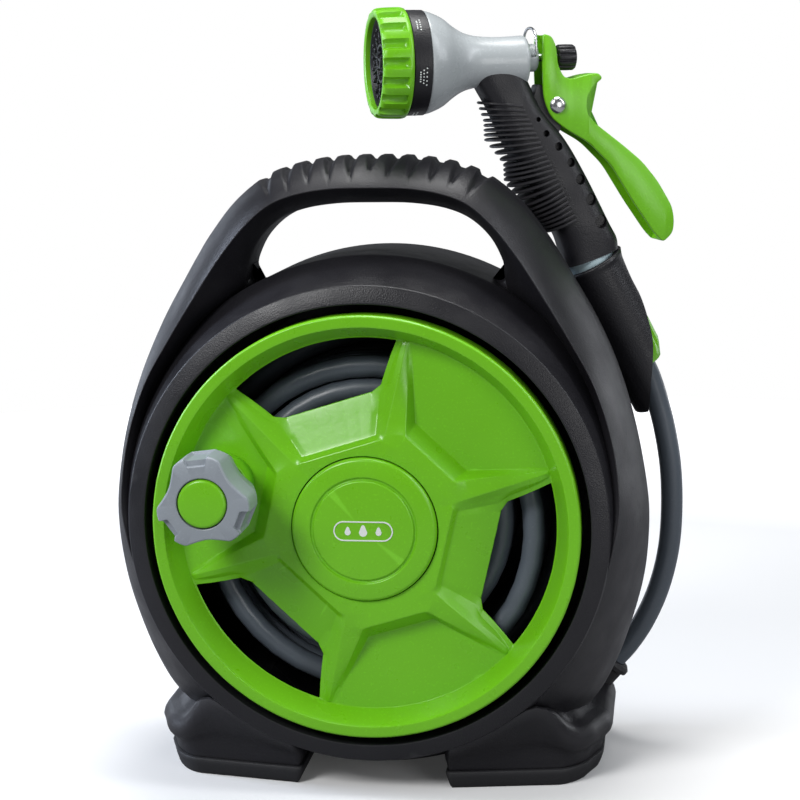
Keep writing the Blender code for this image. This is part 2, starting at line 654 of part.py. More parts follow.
def build_gun_body():
    body = turned("gun_body", [
        (0, BARREL_BACK + 0.003), (0.0082, BARREL_BACK + 0.003),
        (0.0082, DIAL_BACK - 0.0250), (0.0175, DIAL_BACK - 0.0160),
        (0.0175, DIAL_BACK + 0.0050), (0.0235, DIAL_BACK + 0.0050), (0.0235, DIAL_BACK - 0.0100),
        (0.0240, DIAL_BACK - 0.0102), (0.0215, DIAL_BACK - 0.0170), (0.0185, DIAL_BACK - 0.0215),
        *BARREL_OUTLINE, (BARREL_R, BARREL_BACK + 0.002), (BARREL_R - 0.0015, BARREL_BACK),
        (0, BARREL_BACK)], LIGHT_GREY, NOZZLE, ROUND, closed=False)
    cut(body, rod("stem_hole", 0.0023, -BARREL_BACK - 0.010, -BARREL_BACK + 0.010, None, VALVE),
        rod("water_way", 0.0050, 0.060, 0.0960, None, GRIP))


def grip_mesh():
    """Tapered handle: elliptical sections up the grip's axis."""
    sections = [(0.0060, 0.0130, 0.0125), (0.0180, 0.0138, 0.0128), (0.0400, 0.0132, 0.0124),
                (0.0600, 0.0126, 0.0120), (0.0820, 0.0124, 0.0112), (0.1050, 0.0112, 0.0100)]
    rings = []
    for height, half_s, half_n in sections:
        rings.append([(half_s * math.cos(math.tau * k / 20) - GRIP_LEAN * height,
                       half_n * math.sin(math.tau * k / 20), height) for k in range(20)])
    return prism_mesh("gun_grip", rings)


def build_grip():
    grip = add("gun_grip", grip_mesh(), BLACK, GRIP)
    cheek = add("trigger_bracket", box_mesh(
        "trigger_bracket", (-0.0320, -0.0042, 0.0680), (-0.0135, 0.0042, 0.0840), 0.0015), None,
        GUN, (HEAD_S, 0, 0))
    bore = rod("grip_bore", 0.0060, -0.010, 0.120, None, GRIP)
    barrel_clear = turned("barrel_clear", [
        (0, DIAL_BACK - 0.0245), *[(r + 2 * GAP, h) for r, h in BARREL_OUTLINE],
        (BARREL_R + 2 * GAP, BARREL_BACK - 0.010), (0, BARREL_BACK - 0.010)], None, NOZZLE, ROUND,
        closed=False)
    rivet_hole = rod("rivet_hole", 0.0024, -0.020, 0.020, None, TRIGGER_AXIS,
                     rotation=(math.pi / 2, 0, 0))
    join(grip, cheek)
    cut(grip, bore, barrel_clear, rivet_hole)


def build_dial():
    dial = turned("dial_ring", [
        (DIAL_R - 0.0015, FACE), (DIAL_R, FACE - 0.0015), (DIAL_R, DIAL_BACK + 0.0010),
        (DIAL_R - 0.0010, DIAL_BACK), (0.0240, DIAL_BACK), (0.0240, FACE - 0.0050),
        (0.0215, FACE - 0.0030), (0.0215, FACE)], GREEN, NOZZLE, 36)
    notch_bm = bmesh.new()
    for k in range(DIAL_NOTCHES):
        angle = math.tau * k / DIAL_NOTCHES
        at = (Matrix.Translation(polar(DIAL_R + 0.0008, angle, (FACE + DIAL_BACK) / 2 + 0.002))
              @ Matrix.Rotation(angle, 4, "Z"))
        bmesh.ops.create_cone(notch_bm, cap_ends=True, segments=4, radius1=0.0018,
                              radius2=0.0018, depth=0.0080, matrix=at)
    notches = add("dial_notches", mesh_from(notch_bm, "dial_notches"), None, NOZZLE)
    cut(dial, notches)
    turned("spray_face", [
        (0, FACE - 0.0022), (0.0200, FACE - 0.0010), (0.0212, FACE - 0.0020),
        (0.0212, FACE - 0.0060), (0.0237, FACE - 0.0060), (0.0237, DIAL_BACK + 0.0055),
        (0, DIAL_BACK + 0.0055)], BLACK, NOZZLE, ROUND, closed=False)
    ring("dial_band", 0.0238, 0.0246, DIAL_BACK - 0.0095, DIAL_BACK - GAP, BLACK, NOZZLE)


def build_trigger():
    """Flat lever outline in (S, T), thickened across the gun, forked at the top."""
    outline = [(-0.0241, 0.1102), (-0.0201, 0.1092), (-0.0178, 0.1045), (-0.0170, 0.0930),
               (-0.0140, 0.0900), (-0.0103, 0.0888), (-0.0029, 0.0905), (0.0031, 0.0911),
               (0.0051, 0.0887), (0.0011, 0.0855), (-0.0019, 0.0809), (-0.0025, 0.0733),
               (0.0011, 0.0680), (0.0151, 0.0573), (0.0253, 0.0489), (0.0334, 0.0391),
               (0.0407, 0.0268), (0.0417, 0.0200), (0.0413, 0.0137), (0.0362, 0.0094),
               (0.0316, 0.0140), (0.0208, 0.0296), (0.0096, 0.0474), (-0.0015, 0.0584),
               (-0.0130, 0.0650), (-0.0205, 0.0710), (-0.0240, 0.0800), (-0.0246, 0.0967)]
    rings = [[(s - RIVET_S, side, t - RIVET_T) for s, t in outline]
             for side in (TRIGGER_HALF, -TRIGGER_HALF)]
    trigger = add("trigger", prism_mesh("trigger", rings), GREEN, TRIGGER_AXIS)
    fork = add("trigger_fork", box_mesh("trigger_fork", (-0.0340, -0.0052, 0.0600),
                                        (-0.0063, 0.0052, 0.1150)), None, GUN,
               (HEAD_S, 0, 0))
    hole = rod("trigger_hole", 0.0026, -0.020, 0.020, None, TRIGGER_AXIS,
               rotation=(math.pi / 2, 0, 0))
    cut(trigger, hole, fork)
    turned("trigger_rivet", [
        (0, 0.0098), (0.0025, 0.0098), (0.0040, 0.0088), (0.0040, 0.0088 - GAP),
        (0.0022, 0.0088 - GAP), (0.0022, -0.0085 - GAP), (0.0040, -0.0085 - GAP),
        (0.0025, -0.0098), (0, -0.0098)], STEEL, TRIGGER_AXIS, SMALL, closed=False,
        rotation=(math.pi / 2, 0, 0))


def build_valve():
    start = -BARREL_BACK
    turned("valve_gland", [
        (0.0062, start + 0.0048), (0.0066, start + 0.0040), (0.0066, start + GAP),
        (0.0023, start + GAP), (0.0023, start + 0.0048)], LIGHT_GREY, VALVE, ROUND)
    rod("valve_stem", 0.0019, -0.0460, -0.0070, STEEL, VALVE, SMALL)
    ring("valve_seal", 0.0021, 0.0060, -0.0380, -0.0350, DARK_RUBBER, VALVE, SMALL)
    turned("flow_knob", [
        (0.0050, -0.0063), (0.0061, -0.0075), (0.0061, -0.0148), (0.0052, -0.0158),
        (0.0021, -0.0158), (0.0021, -0.0063)], BLACK, VALVE, 20)


def build_bail():
    """Wire catch that swings over the trigger's fork to hold it squeezed."""
    points = [(0.0, -0.0105, 0.0), (0.0, -0.0105, 0.0100), (0.0, -0.0070, 0.0125),
              (0.0, 0.0, 0.0130), (0.0, 0.0070, 0.0125), (0.0, 0.0105, 0.0100),
              (0.0, 0.0105, 0.0)]
    curve = bpy.data.curves.new("lock_bail", "CURVE")
    curve.dimensions = "3D"
    curve.bevel_depth = 0.0009
    curve.bevel_resolution = 2
    curve.use_fill_caps = True
    spline = curve.splines.new("POLY")
    spline.points.add(len(points) - 1)
    for point, (x, y, z) in zip(spline.points, points):
        point.co = (x, y, z, 1)
    bail = bpy.data.objects.new("lock_bail", curve)
    reel.objects.link(bail)
    curve.materials.append(STEEL)
    bail.parent = GUN
    bail.location = (HEAD_S - 0.0285, 0, 0.1000)


def build_coupling():
    turned("grip_nipple", [
        (0.0085, 0.0055), (0.0085, -0.0060), (0.0050, -0.0060), (0.0050, 0.0055)],
        BRASS, GRIP, SMALL)
    turned("hose_coupler", [
        (0.0118, 0.0052), (COUPLER_R, 0.0035), (COUPLER_R, -0.0060), (0.0110, -0.0100),
        (0.0110, -0.0350), (0.0060, -0.0350), (0.0060, -0.0068), (0.0090, -0.0068),
        (0.0090, 0.0052)], LIGHT_GREY, GRIP, ROUND)
    turned("coupler_nut", [
        (0.0112, -0.0353), (0.0120, -0.0370), (0.0118, -0.0500), (0.0090, -0.0575),
        (0.0057, -0.0575), (0.0057, -0.0353)], GREEN, GRIP, 24)


# ---------------------------------------------------------------- hose loop
# Route of the hose's middle from the gun's coupling nut round to the guide on
# the rear foot, measured from the drum's front middle like the other outlines.
HOSE_ROUTE = [(0.1266, 0.1013, 0.0630), (0.1296, 0.1024, 0.0560), (0.1330, 0.1032, 0.0450),
              (0.1368, 0.1038, 0.0300), (0.1398, 0.1040, 0.0110), (0.1406, 0.1040, -0.0100),
              (0.1392, 0.1040, -0.0310), (0.1346, 0.1040, -0.0510), (0.1276, 0.1040, -0.0680),
              (0.1196, 0.1040, -0.0810), (0.1128, 0.1040, -0.0890)]
GUIDE_DIRECTION = Vector((-0.65, 0.0, -0.76)).normalized()


def build_hose_loop():
    curve = bpy.data.curves.new("hose_loop", "CURVE")
    curve.dimensions = "3D"
    curve.bevel_depth = HOSE_R
    curve.bevel_resolution = 3
    curve.use_fill_caps = True
    points = smooth_loop(HOSE_ROUTE, 2)
    spline = curve.splines.new("POLY")
    spline.points.add(len(points) - 1)
    for point, at in zip(spline.points, points):
        point.co = (*at, 1)
    hose = bpy.data.objects.new("hose_loop", curve)
    reel.objects.link(hose)
    curve.materials.append(HOSE_GREY)
    hose.parent = REEL_ORIGIN


def build_hose_guide(rear):
    """Flanged grommet where the hose goes into the rear foot."""
    mouth = Vector(HOSE_ROUTE[-1]) + GUIDE_DIRECTION * GAP
    turn = (-GUIDE_DIRECTION).to_track_quat("Z", "Y").to_euler()
    guide_at = empty("guide_axis", REEL_ORIGIN, mouth, turn)
    turned("hose_guide", [
        (0.0080, 0.0), (0.0095, -0.0015), (0.0095, -0.0035), (0.0078, -0.0045),
        (0.0078, -0.0200), (0.0056, -0.0200), (0.0056, 0.0)], DARK_RUBBER, guide_at, 24)
    cut(rear, rod("guide_hole", 0.0082, -0.0300, 0.0200, None, guide_at, 24))


front_casing, rear_casing = build_casing()
build_casing_screws()
build_soles()
build_drum()
build_spindle()
build_knob()
build_holster()
build_gun_body()
build_grip()
build_dial()
build_trigger()
build_valve()
build_bail()
build_coupling()
build_hose_loop()
build_hose_guide(rear_casing)
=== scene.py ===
"""Looks of the portable garden hose reel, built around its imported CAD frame.

Every length is in metres.  Design coordinates are measured from the middle of
the drum's front rim: X to the right, Y to the back, Z up.
"""
import json
import math

import bmesh
import bpy
from mathutils import Matrix, Vector


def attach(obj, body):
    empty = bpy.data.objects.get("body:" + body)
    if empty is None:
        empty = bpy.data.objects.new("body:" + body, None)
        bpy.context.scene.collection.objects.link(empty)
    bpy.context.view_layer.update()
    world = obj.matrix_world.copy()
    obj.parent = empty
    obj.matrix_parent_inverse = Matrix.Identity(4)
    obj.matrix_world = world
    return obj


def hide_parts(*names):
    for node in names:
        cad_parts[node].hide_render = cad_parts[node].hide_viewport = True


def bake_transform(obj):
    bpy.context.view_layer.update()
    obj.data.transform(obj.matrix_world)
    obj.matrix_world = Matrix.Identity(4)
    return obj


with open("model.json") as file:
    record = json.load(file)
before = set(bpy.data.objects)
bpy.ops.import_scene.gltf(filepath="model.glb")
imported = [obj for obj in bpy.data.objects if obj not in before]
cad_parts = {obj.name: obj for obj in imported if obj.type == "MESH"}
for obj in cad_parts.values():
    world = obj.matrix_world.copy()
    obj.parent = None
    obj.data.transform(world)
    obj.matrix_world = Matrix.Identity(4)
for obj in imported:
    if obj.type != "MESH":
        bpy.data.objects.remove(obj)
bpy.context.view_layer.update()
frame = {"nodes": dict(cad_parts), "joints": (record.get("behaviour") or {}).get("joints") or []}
JOINTS = {joint["name"]: joint for joint in frame["joints"]}

# ---------------------------------------------------------------- places
DRUM = Vector(JOINTS["drum_spin"]["pos_m"])
REEL = Matrix.Translation(DRUM)
# local +Z of the drum's frame points out of the front of the reel
TO_FRONT = Matrix.Rotation(math.pi / 2, 4, "X")
DISC = REEL @ TO_FRONT
KNOB = Matrix.Translation(JOINTS["knob_spin"]["pos_m"]) @ TO_FRONT
HOLSTER_MOUTH = Vector((0.101, 0.092, 0.1148))
GUN_YAW = math.radians(20)
GRIP_TILT = math.radians(28)
HEAD_S = -0.0024                 # head, back along the nozzle from the holster's mouth
NOZZLE_T = 0.0975
VALVE_T = 0.099
RIVET = Vector((-0.0171, 0, 0.0766))
BAIL_PIVOT = Vector((-0.0285, 0, 0.100))
# the gun's frame: X to the back of the gun, Z up; the mouth of the holster is its origin
GUN = REEL @ Matrix.Translation(HOLSTER_MOUTH) @ Matrix.Rotation(GUN_YAW, 4, "Z")
HEAD = GUN @ Matrix.Translation((HEAD_S, 0, 0))
NOZZLE = HEAD @ Matrix.Translation((0, 0, NOZZLE_T)) @ Matrix.Rotation(-math.pi / 2, 4, "Y")
VALVE = HEAD @ Matrix.Translation((0, 0, VALVE_T)) @ Matrix.Rotation(math.pi / 2, 4, "Y")
GRIP = GUN @ Matrix.Rotation(-GRIP_TILT, 4, "Y")

# ---------------------------------------------------------------- sizes
SPLIT_Y = 0.060                  # front and rear halves of the casing meet here
MOUTH_R = 0.1045
RIDGE_R = 0.113
RIDGE_Y = 0.006
SEAM_R = 0.1238
SEAM_Y = 0.0385
HOUSING_BACK_Y = 0.118
FLOOR_H = -0.012
HUB_R = 0.034
HOSE_R = 0.0054
FACE = 0.105
DIAL_BACK = 0.0905
BARREL_R = 0.0122
BARREL_BACK = 0.0305


# ---------------------------------------------------------------- camera
CAMERA_PLACE = Vector((0.1425, -0.8881, 0.2135))
CAMERA_TURN = (7.98, 9.63, -0.92)        # degrees of yaw, pitch and roll
CAMERA_LENS = 90                         # millimetres, on a sensor 36 wide


def add_camera():
    yaw, pitch, roll = (math.radians(a) for a in CAMERA_TURN)
    right = Vector((math.cos(yaw), math.sin(yaw), 0))
    forward = Vector((-math.sin(yaw) * math.cos(pitch), math.cos(yaw) * math.cos(pitch),
                      -math.sin(pitch)))
    up = right.cross(forward)
    turned_right = right * math.cos(roll) + up * math.sin(roll)
    turned_up = up * math.cos(roll) - right * math.sin(roll)
    data = bpy.data.cameras.new("camera")
    data.lens = CAMERA_LENS
    data.sensor_width = 36
    camera = bpy.data.objects.new("camera", data)
    bpy.context.scene.collection.objects.link(camera)
    axes = Matrix((turned_right, turned_up, -forward)).transposed().to_4x4()
    camera.matrix_world = Matrix.Translation(DRUM + CAMERA_PLACE) @ axes
    bpy.context.scene.camera = camera


add_camera()


# ---------------------------------------------------------------- materials
def socket(node, name, value):
    node.inputs[name].default_value = value


def plastic(name, colour, roughness, grain=1600, grain_depth=0.00006, mottle=0.06,
            rough_spread=0.08, metallic=0.0, edge=0.0, scuffs=0.0, specular=0.5):
    """Moulded surface: fine grain in the normal, slow drift of colour and gloss,
    convex edges lighter as a painted highlight, and faint scuffs."""
    mat = bpy.data.materials.new(name)
    mat.use_nodes = True
    tree = mat.node_tree
    nodes, links = tree.nodes, tree.links
    shader = nodes["Principled BSDF"]
    socket(shader, "Metallic", metallic)
    socket(shader, "Specular IOR Level", specular)
    where = nodes.new("ShaderNodeTexCoord")

    def noise(scale, detail=3.0):
        node = nodes.new("ShaderNodeTexNoise")
        socket(node, "Scale", scale)
        socket(node, "Detail", detail)
        links.new(where.outputs["Object"], node.inputs["Vector"])
        return node

    def remap(source, low, high, out_low, out_high):
        node = nodes.new("ShaderNodeMapRange")
        for key, value in (("From Min", low), ("From Max", high),
                           ("To Min", out_low), ("To Max", out_high)):
            socket(node, key, value)
        links.new(source, node.inputs["Value"])
        return node.outputs["Result"]

    def mix(factor, first, second, mode="MIX"):
        node = nodes.new("ShaderNodeMix")
        node.data_type = "RGBA"
        node.blend_type = mode
        links.new(factor, node.inputs[0])
        for slot, value in ((6, first), (7, second)):
            if isinstance(value, tuple):
                node.inputs[slot].default_value = (*value, 1.0)
            else:
                links.new(value, node.inputs[slot])
        return node.outputs[2]

    drift = noise(14, 2.0)
    speckle = noise(900, 2.0)
    dark = tuple(c * (1 - mottle) for c in colour)
    light = tuple(min(c * (1 + mottle) + 0.002, 1.0) for c in colour)
    base = mix(remap(drift.outputs["Fac"], 0.35, 0.65, 0, 1), dark, light)
    base = mix(remap(speckle.outputs["Fac"], 0.58, 0.72, 0, 0.35), base,
               tuple(min(c * 1.35 + 0.004, 1.0) for c in colour))
    if edge:
        # painted highlight: sharp convex edges get a lighter base colour, standing in for the light they
        # catch
        geometry = nodes.new("ShaderNodeNewGeometry")
        painted_edge_highlight = remap(geometry.outputs["Pointiness"], 0.52, 0.60, 0, edge)
        base = mix(painted_edge_highlight, base, tuple(min(c * 1.8 + 0.05, 1.0) for c in colour))
    links.new(base, shader.inputs["Base Color"])
    gloss = noise(55, 4.0)
    rough = remap(gloss.outputs["Fac"], 0.3, 0.7, roughness - rough_spread, roughness + rough_spread)
    if scuffs:
        streak = noise(240, 5.0)
        scuff = remap(streak.outputs["Fac"], 0.62, 0.70, 0, scuffs)
        add = nodes.new("ShaderNodeMath")
        add.operation = "ADD"
        links.new(rough, add.inputs[0])
        links.new(scuff, add.inputs[1])
        rough = add.outputs[0]
    links.new(rough, shader.inputs["Roughness"])
    grain_noise = noise(grain, 2.0)
    bump = nodes.new("ShaderNodeBump")
    socket(bump, "Strength", 1.0)
    socket(bump, "Distance", grain_depth)
    links.new(grain_noise.outputs["Fac"], bump.inputs["Height"])
    links.new(bump.outputs["Normal"], shader.inputs["Normal"])
    return mat


BLACK = plastic("black_textured_plastic", (0.0100, 0.0096, 0.0122), 0.40, grain=1500,
                grain_depth=0.00013, mottle=0.10, edge=0.30, scuffs=0.05, specular=0.40)
GREEN = plastic("green_gloss_plastic", (0.152, 0.480, 0.0070), 0.30, grain=420,
                grain_depth=0.00003, mottle=0.035, rough_spread=0.05, edge=0.22)
GREY = plastic("grey_plastic", (0.235, 0.262, 0.292), 0.38, grain=700, grain_depth=0.00004,
               edge=0.25)
LIGHT_GREY = plastic("light_grey_plastic", (0.400, 0.430, 0.440), 0.26, grain=600,
                     grain_depth=0.00003, mottle=0.03, edge=0.10)
COUPLER_BLUE = plastic("coupler_plastic", (0.400, 0.520, 0.560), 0.32, grain=600,
                       grain_depth=0.00003, edge=0.10)
RUBBER = plastic("dark_rubber", (0.013, 0.013, 0.015), 0.58, grain=1100, grain_depth=0.00015,
                 mottle=0.15)
HOSE = plastic("hose_grey", (0.082, 0.098, 0.118), 0.36, grain=900, grain_depth=0.00003,
               mottle=0.10, scuffs=0.10)
STEEL = plastic("bright_steel", (0.62, 0.63, 0.64), 0.24, grain=1800, grain_depth=0.00002,
                metallic=1.0)
BRASS = plastic("brass", (0.65, 0.48, 0.20), 0.28, grain=1500, grain_depth=0.00002,
                metallic=1.0)
MARKING = plastic("white_marking", (0.72, 0.76, 0.74), 0.45, grain=900, grain_depth=0.00002)


# ---------------------------------------------------------------- shape tools
def polar(radius, angle, height=0.0):
    return Vector((radius * math.cos(angle), radius * math.sin(angle), height))


SAME_PLACE = 0.000001


def finished_mesh(bm, name, sharp=32):
    bmesh.ops.remove_doubles(bm, verts=bm.verts, dist=SAME_PLACE)
    bmesh.ops.recalc_face_normals(bm, faces=bm.faces)
    mesh = bpy.data.meshes.new(name)
    bm.to_mesh(mesh)
    bm.free()
    mesh.shade_smooth()
    mesh.set_sharp_from_angle(angle=math.radians(sharp))
    return mesh


def piece(name, mesh, place, mat, body, nodes=()):
    """A finished piece: put in place, on its body, standing for its CAD nodes."""
    obj = bpy.data.objects.new(name, mesh)
    bpy.context.scene.collection.objects.link(obj)
    obj.matrix_world = place
    mesh.materials.clear()
    mesh.materials.append(mat)
    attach(obj, body)
    if nodes:
        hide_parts(*nodes)
    return obj


def catmull_rom(four, t):
    """Where a share t of the way lies between the middle two of four lists."""
    return [0.5 * (2 * b + (c - a) * t + (2 * a - 5 * b + 4 * c - d) * t * t
                   + (3 * b - a - 3 * c + d) * t ** 3)
            for a, b, c, d in zip(*four)]


def spline_points(points, per_span):
    """Smooth curve through lists of numbers of any length."""
    count = len(points)
    result = []
    for i in range(count - 1):
        four = [points[min(max(i + k - 1, 0), count - 1)] for k in range(4)]
        result += [catmull_rom(four, step / per_span) for step in range(per_span)]
    result.append(list(points[-1]))
    return result


def rounded(profile, radius, closed=False, steps=4):
    """A polyline of (x, y) with its corners rounded; a corner may state its own
    radius as a third number."""
    result = []
    count = len(profile)
    for i, corner in enumerate(profile):
        own = corner[2] if len(corner) > 2 else radius
        here = Vector(corner[:2])
        if not closed and i in (0, count - 1):
            result.append(tuple(here))
            continue
        before = Vector(profile[i - 1][:2]) - here
        after = Vector(profile[(i + 1) % count][:2]) - here
        reach = min(own, before.length * 0.45, after.length * 0.45)
        if reach < 0.00002:
            result.append(tuple(here))
            continue
        start = here + before.normalized() * reach
        end = here + after.normalized() * reach
        for k in range(steps + 1):
            t = k / steps
            result.append(tuple(start * (1 - t) ** 2 + here * 2 * t * (1 - t) + end * t * t))
    return result


def turned(name, profile, steps=96, radius=0.0005, closed=True, sharp=32):
    """A body of revolution about local Z with rounded corners; an open profile
    starts and ends on the axis."""
    bm = bmesh.new()
    points = rounded(profile, radius, closed)
    rings = []
    for r, z in points:
        if r < 0.000001:
            rings.append([bm.verts.new((0, 0, z))])
        else:
            rings.append([bm.verts.new(polar(r, math.tau * k / steps, z)) for k in range(steps)])
    pairs = list(zip(rings, rings[1:]))
    if closed:
        pairs.append((rings[-1], rings[0]))
    for low, high in pairs:
        for k in range(steps):
            j = (k + 1) % steps
            corners = [low[k % len(low)], low[j % len(low)], high[j % len(high)],
                       high[k % len(high)]]
            corners = list(dict.fromkeys(corners))
            if len(corners) > 2:
                bm.faces.new(corners)
    return finished_mesh(bm, name, sharp)


def loft(bm, rings, close_start=True, close_end=True):
    """Quads between rings of points that all have the same count."""
    loops = [[bm.verts.new(p) for p in ring] for ring in rings]
    for low, high in zip(loops, loops[1:]):
        for i in range(len(low)):
            j = (i + 1) % len(low)
            bm.faces.new((low[i], low[j], high[j], high[i]))
    if close_start:
        bm.faces.new(list(reversed(loops[0])))
    if close_end:
        bm.faces.new(loops[-1])


def lofted(rings, name="shell", sharp=32, ends=True):
    bm = bmesh.new()
    loft(bm, rings, close_start=ends, close_end=ends)
    return finished_mesh(bm, name, sharp)


def capped_loft(rings, name, sharp=32):
    """Loft whose ends are cut into triangles, for outlines that turn inward."""
    bm = bmesh.new()
    loft(bm, rings)
    caps = [face for face in bm.faces if len(face.verts) > 4]
    bmesh.ops.triangulate(bm, faces=caps, ngon_method="EAR_CLIP")
    return finished_mesh(bm, name, sharp)


def ribbed_rings(profile, count, depth, groove):
    """Rings of (radius, height, share) that dip by depth * share where groove(k),
    at step k of the circle, is 1."""
    return [[polar(r - depth * share * groove(k), math.tau * k / count, z) for k in range(count)]
            for r, z, share in profile]


def tube_mesh(name, path, radius, sides=20):
    """A round tube along a path, with frames carried along without twist."""
    points = [Vector(p) for p in path]
    across = None
    rings = []
    for i, here in enumerate(points):
        along = (points[min(i + 1, len(points) - 1)] - points[max(i - 1, 0)]).normalized()
        if across is None:
            across = along.orthogonal().normalized()
        across = (across - along * across.dot(along)).normalized()
        other = along.cross(across)
        rings.append([here + (across * math.cos(math.tau * k / sides)
                              + other * math.sin(math.tau * k / sides)) * radius
                      for k in range(sides)])
    return lofted(rings, name, 50)


def smooth_step(value, low, high):
    t = min(max((value - low) / (high - low), 0.0), 1.0)
    return t * t * (3 - 2 * t)


def mesh_object(name, mesh, place=None):
    obj = bpy.data.objects.new(name, mesh)
    bpy.context.scene.collection.objects.link(obj)
    if place is not None:
        obj.matrix_world = place
    return obj


def applied(obj):
    """The object's mesh with its modifiers applied; the object itself goes."""
    bpy.context.view_layer.update()
    depsgraph = bpy.context.evaluated_depsgraph_get()
    mesh = bpy.data.meshes.new_from_object(obj.evaluated_get(depsgraph))
    bpy.data.objects.remove(obj)
    return mesh


def cut_away(target, tools):
    """The target's mesh without the tools' volumes; all of these objects go."""
    for tool in tools:
        cutter = target.modifiers.new("cut", "BOOLEAN")
        cutter.operation = "DIFFERENCE"
        cutter.solver = "MANIFOLD"
        cutter.object = tool
    mesh = applied(target)
    for tool in tools:
        bpy.data.objects.remove(tool)
    return mesh


# ---------------------------------------------------------------- hose
# route of the loop from the gun's coupling nut to the guide on the rear foot
HOSE_ROUTE = [(0.1266, 0.1013, 0.0630), (0.1296, 0.1024, 0.0560), (0.1330, 0.1032, 0.0450),
              (0.1368, 0.1038, 0.0300), (0.1398, 0.1040, 0.0110), (0.1406, 0.1040, -0.0100),
              (0.1392, 0.1040, -0.0310), (0.1346, 0.1040, -0.0510), (0.1276, 0.1040, -0.0680),
              (0.1196, 0.1040, -0.0810), (0.1128, 0.1040, -0.0890)]
# layers on the drum: radius, sag of the layer, turns
HOSE_LAYERS = [(0.0508, 0.0, 7.0), (0.0618, 0.0, 7.0), (0.0772, -0.0044, 7.0),
               (0.0882, -0.0044, 3.0)]
HOSE_FRONT_Y = 0.0225            # middle of the foremost turn
HOSE_BACK_Y = 0.0935
HOSE_START = math.radians(250)
HOSE_STEPS = 40                  # points of a turn
LAYER_TURNS = 7                  # turns of a full layer
CLIMB = 0.22                     # share of a turn in which the hose climbs a layer


def build_hose_loop():
    path = [DRUM + Vector(p) for p in spline_points(HOSE_ROUTE, 5)]
    mesh = tube_mesh("hose_loop", path, HOSE_R, 28)
    hose = mesh_object("hose_loop_visual", mesh)
    mesh.materials.append(HOSE)
    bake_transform(hose)
    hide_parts("hose_loop")


def wound_path():
    """Middle of the hose on the drum, layer by layer, back and forth."""
    steps = HOSE_STEPS
    points = []
    advance = (HOSE_BACK_Y - HOSE_FRONT_Y) / (LAYER_TURNS * steps)
    angle = HOSE_START
    depth = HOSE_FRONT_Y
    direction = 1
    for k, (radius, sag, turns) in enumerate(HOSE_LAYERS):
        last_radius, last_sag, _ = HOSE_LAYERS[max(k - 1, 0)]
        climb_steps = round(CLIMB * steps) if k else 0
        for i in range(round(turns * steps)):
            t = smooth_step(i, 0, climb_steps) if i < climb_steps else 1.0
            r = last_radius + (radius - last_radius) * t
            drop = last_sag + (sag - last_sag) * t
            points.append(polar(r, angle, -depth) + Vector((0, drop, 0)))
            angle += math.tau / steps
            if i >= climb_steps:
                depth = min(max(depth + direction * advance, HOSE_FRONT_Y), HOSE_BACK_Y)
        direction = -direction
    return points


def build_wound_hose():
    curve = bpy.data.curves.new("hose_wound_visual", "CURVE")
    curve.dimensions = "3D"
    curve.bevel_depth = HOSE_R
    curve.bevel_resolution = 3
    curve.use_fill_caps = True
    points = wound_path()
    spline = curve.splines.new("POLY")
    spline.points.add(len(points) - 1)
    for point, at in zip(spline.points, points):
        point.co = (*at, 1)
    spline.use_smooth = True
    curve.materials.append(HOSE)
    hose = bpy.data.objects.new("hose_wound_visual", curve)
    bpy.context.scene.collection.objects.link(hose)
    hose.matrix_world = DISC
    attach(hose, "drum")
    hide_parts("hose_wound")


build_hose_loop()
build_wound_hose()

# ---------------------------------------------------------------- light and floor
FLOOR_BOUNCE = (0.28, 0.28, 0.29)
FLOOR_RADII = (0.5, 1.1)
ROOM_FILL = 0.13
WHITE = (1.0, 1.0, 1.0, 1.0)


def soft_box(name, place, aim, size, power, colour=(1, 1, 1), size_y=None):
    data = bpy.data.lights.new(name, "AREA")
    data.shape = "RECTANGLE"
    data.size = size
    data.size_y = size_y or size
    data.energy = power
    data.color = colour
    light = bpy.data.objects.new(name, data)
    bpy.context.scene.collection.objects.link(light)
    light.location = place
    light.rotation_euler = (Vector(aim) - Vector(place)).to_track_quat("-Z", "Y").to_euler()


def camera_mix(tree, unseen, seen, target):
    """Shows one shader to the camera and the other to every other ray."""
    rays = tree.nodes.new("ShaderNodeLightPath")
    either = tree.nodes.new("ShaderNodeMixShader")
    tree.links.new(rays.outputs["Is Camera Ray"], either.inputs[0])
    tree.links.new(unseen.outputs[0], either.inputs[1])
    tree.links.new(seen.outputs[0], either.inputs[2])
    tree.links.new(either.outputs[0], target.inputs["Surface"])


def add_floor():
    """Pale floor that sheds less light on the object than it shows."""
    bm = bmesh.new()
    loft(bm, [[polar(r, math.tau * k / 96) for k in range(96)] for r in FLOOR_RADII],
         close_end=False)
    mesh = bpy.data.meshes.new("floor")
    bm.to_mesh(mesh)
    bm.free()
    mat = bpy.data.materials.new("pale_floor")
    mat.use_nodes = True
    tree = mat.node_tree
    shader = tree.nodes["Principled BSDF"]
    socket(shader, "Base Color", (0.85, 0.85, 0.85, 1.0))
    socket(shader, "Roughness", 0.80)
    socket(shader, "Emission Color", WHITE)
    # the floor glows towards its edge, so that it melts into the white room
    where = tree.nodes.new("ShaderNodeTexCoord")
    length = tree.nodes.new("ShaderNodeVectorMath")
    length.operation = "LENGTH"
    glow = tree.nodes.new("ShaderNodeMapRange")
    for key, value in (("From Min", 0.55), ("From Max", 1.05), ("To Min", 0.03), ("To Max", 0.9)):
        socket(glow, key, value)
    tree.links.new(where.outputs["Object"], length.inputs[0])
    tree.links.new(length.outputs["Value"], glow.inputs["Value"])
    tree.links.new(glow.outputs["Result"], shader.inputs["Emission Strength"])
    dim = tree.nodes.new("ShaderNodeBsdfDiffuse")
    socket(dim, "Color", (*FLOOR_BOUNCE, 1.0))
    camera_mix(tree, dim, shader, tree.nodes["Material Output"])
    mesh.materials.append(mat)
    mesh_object("floor", mesh)


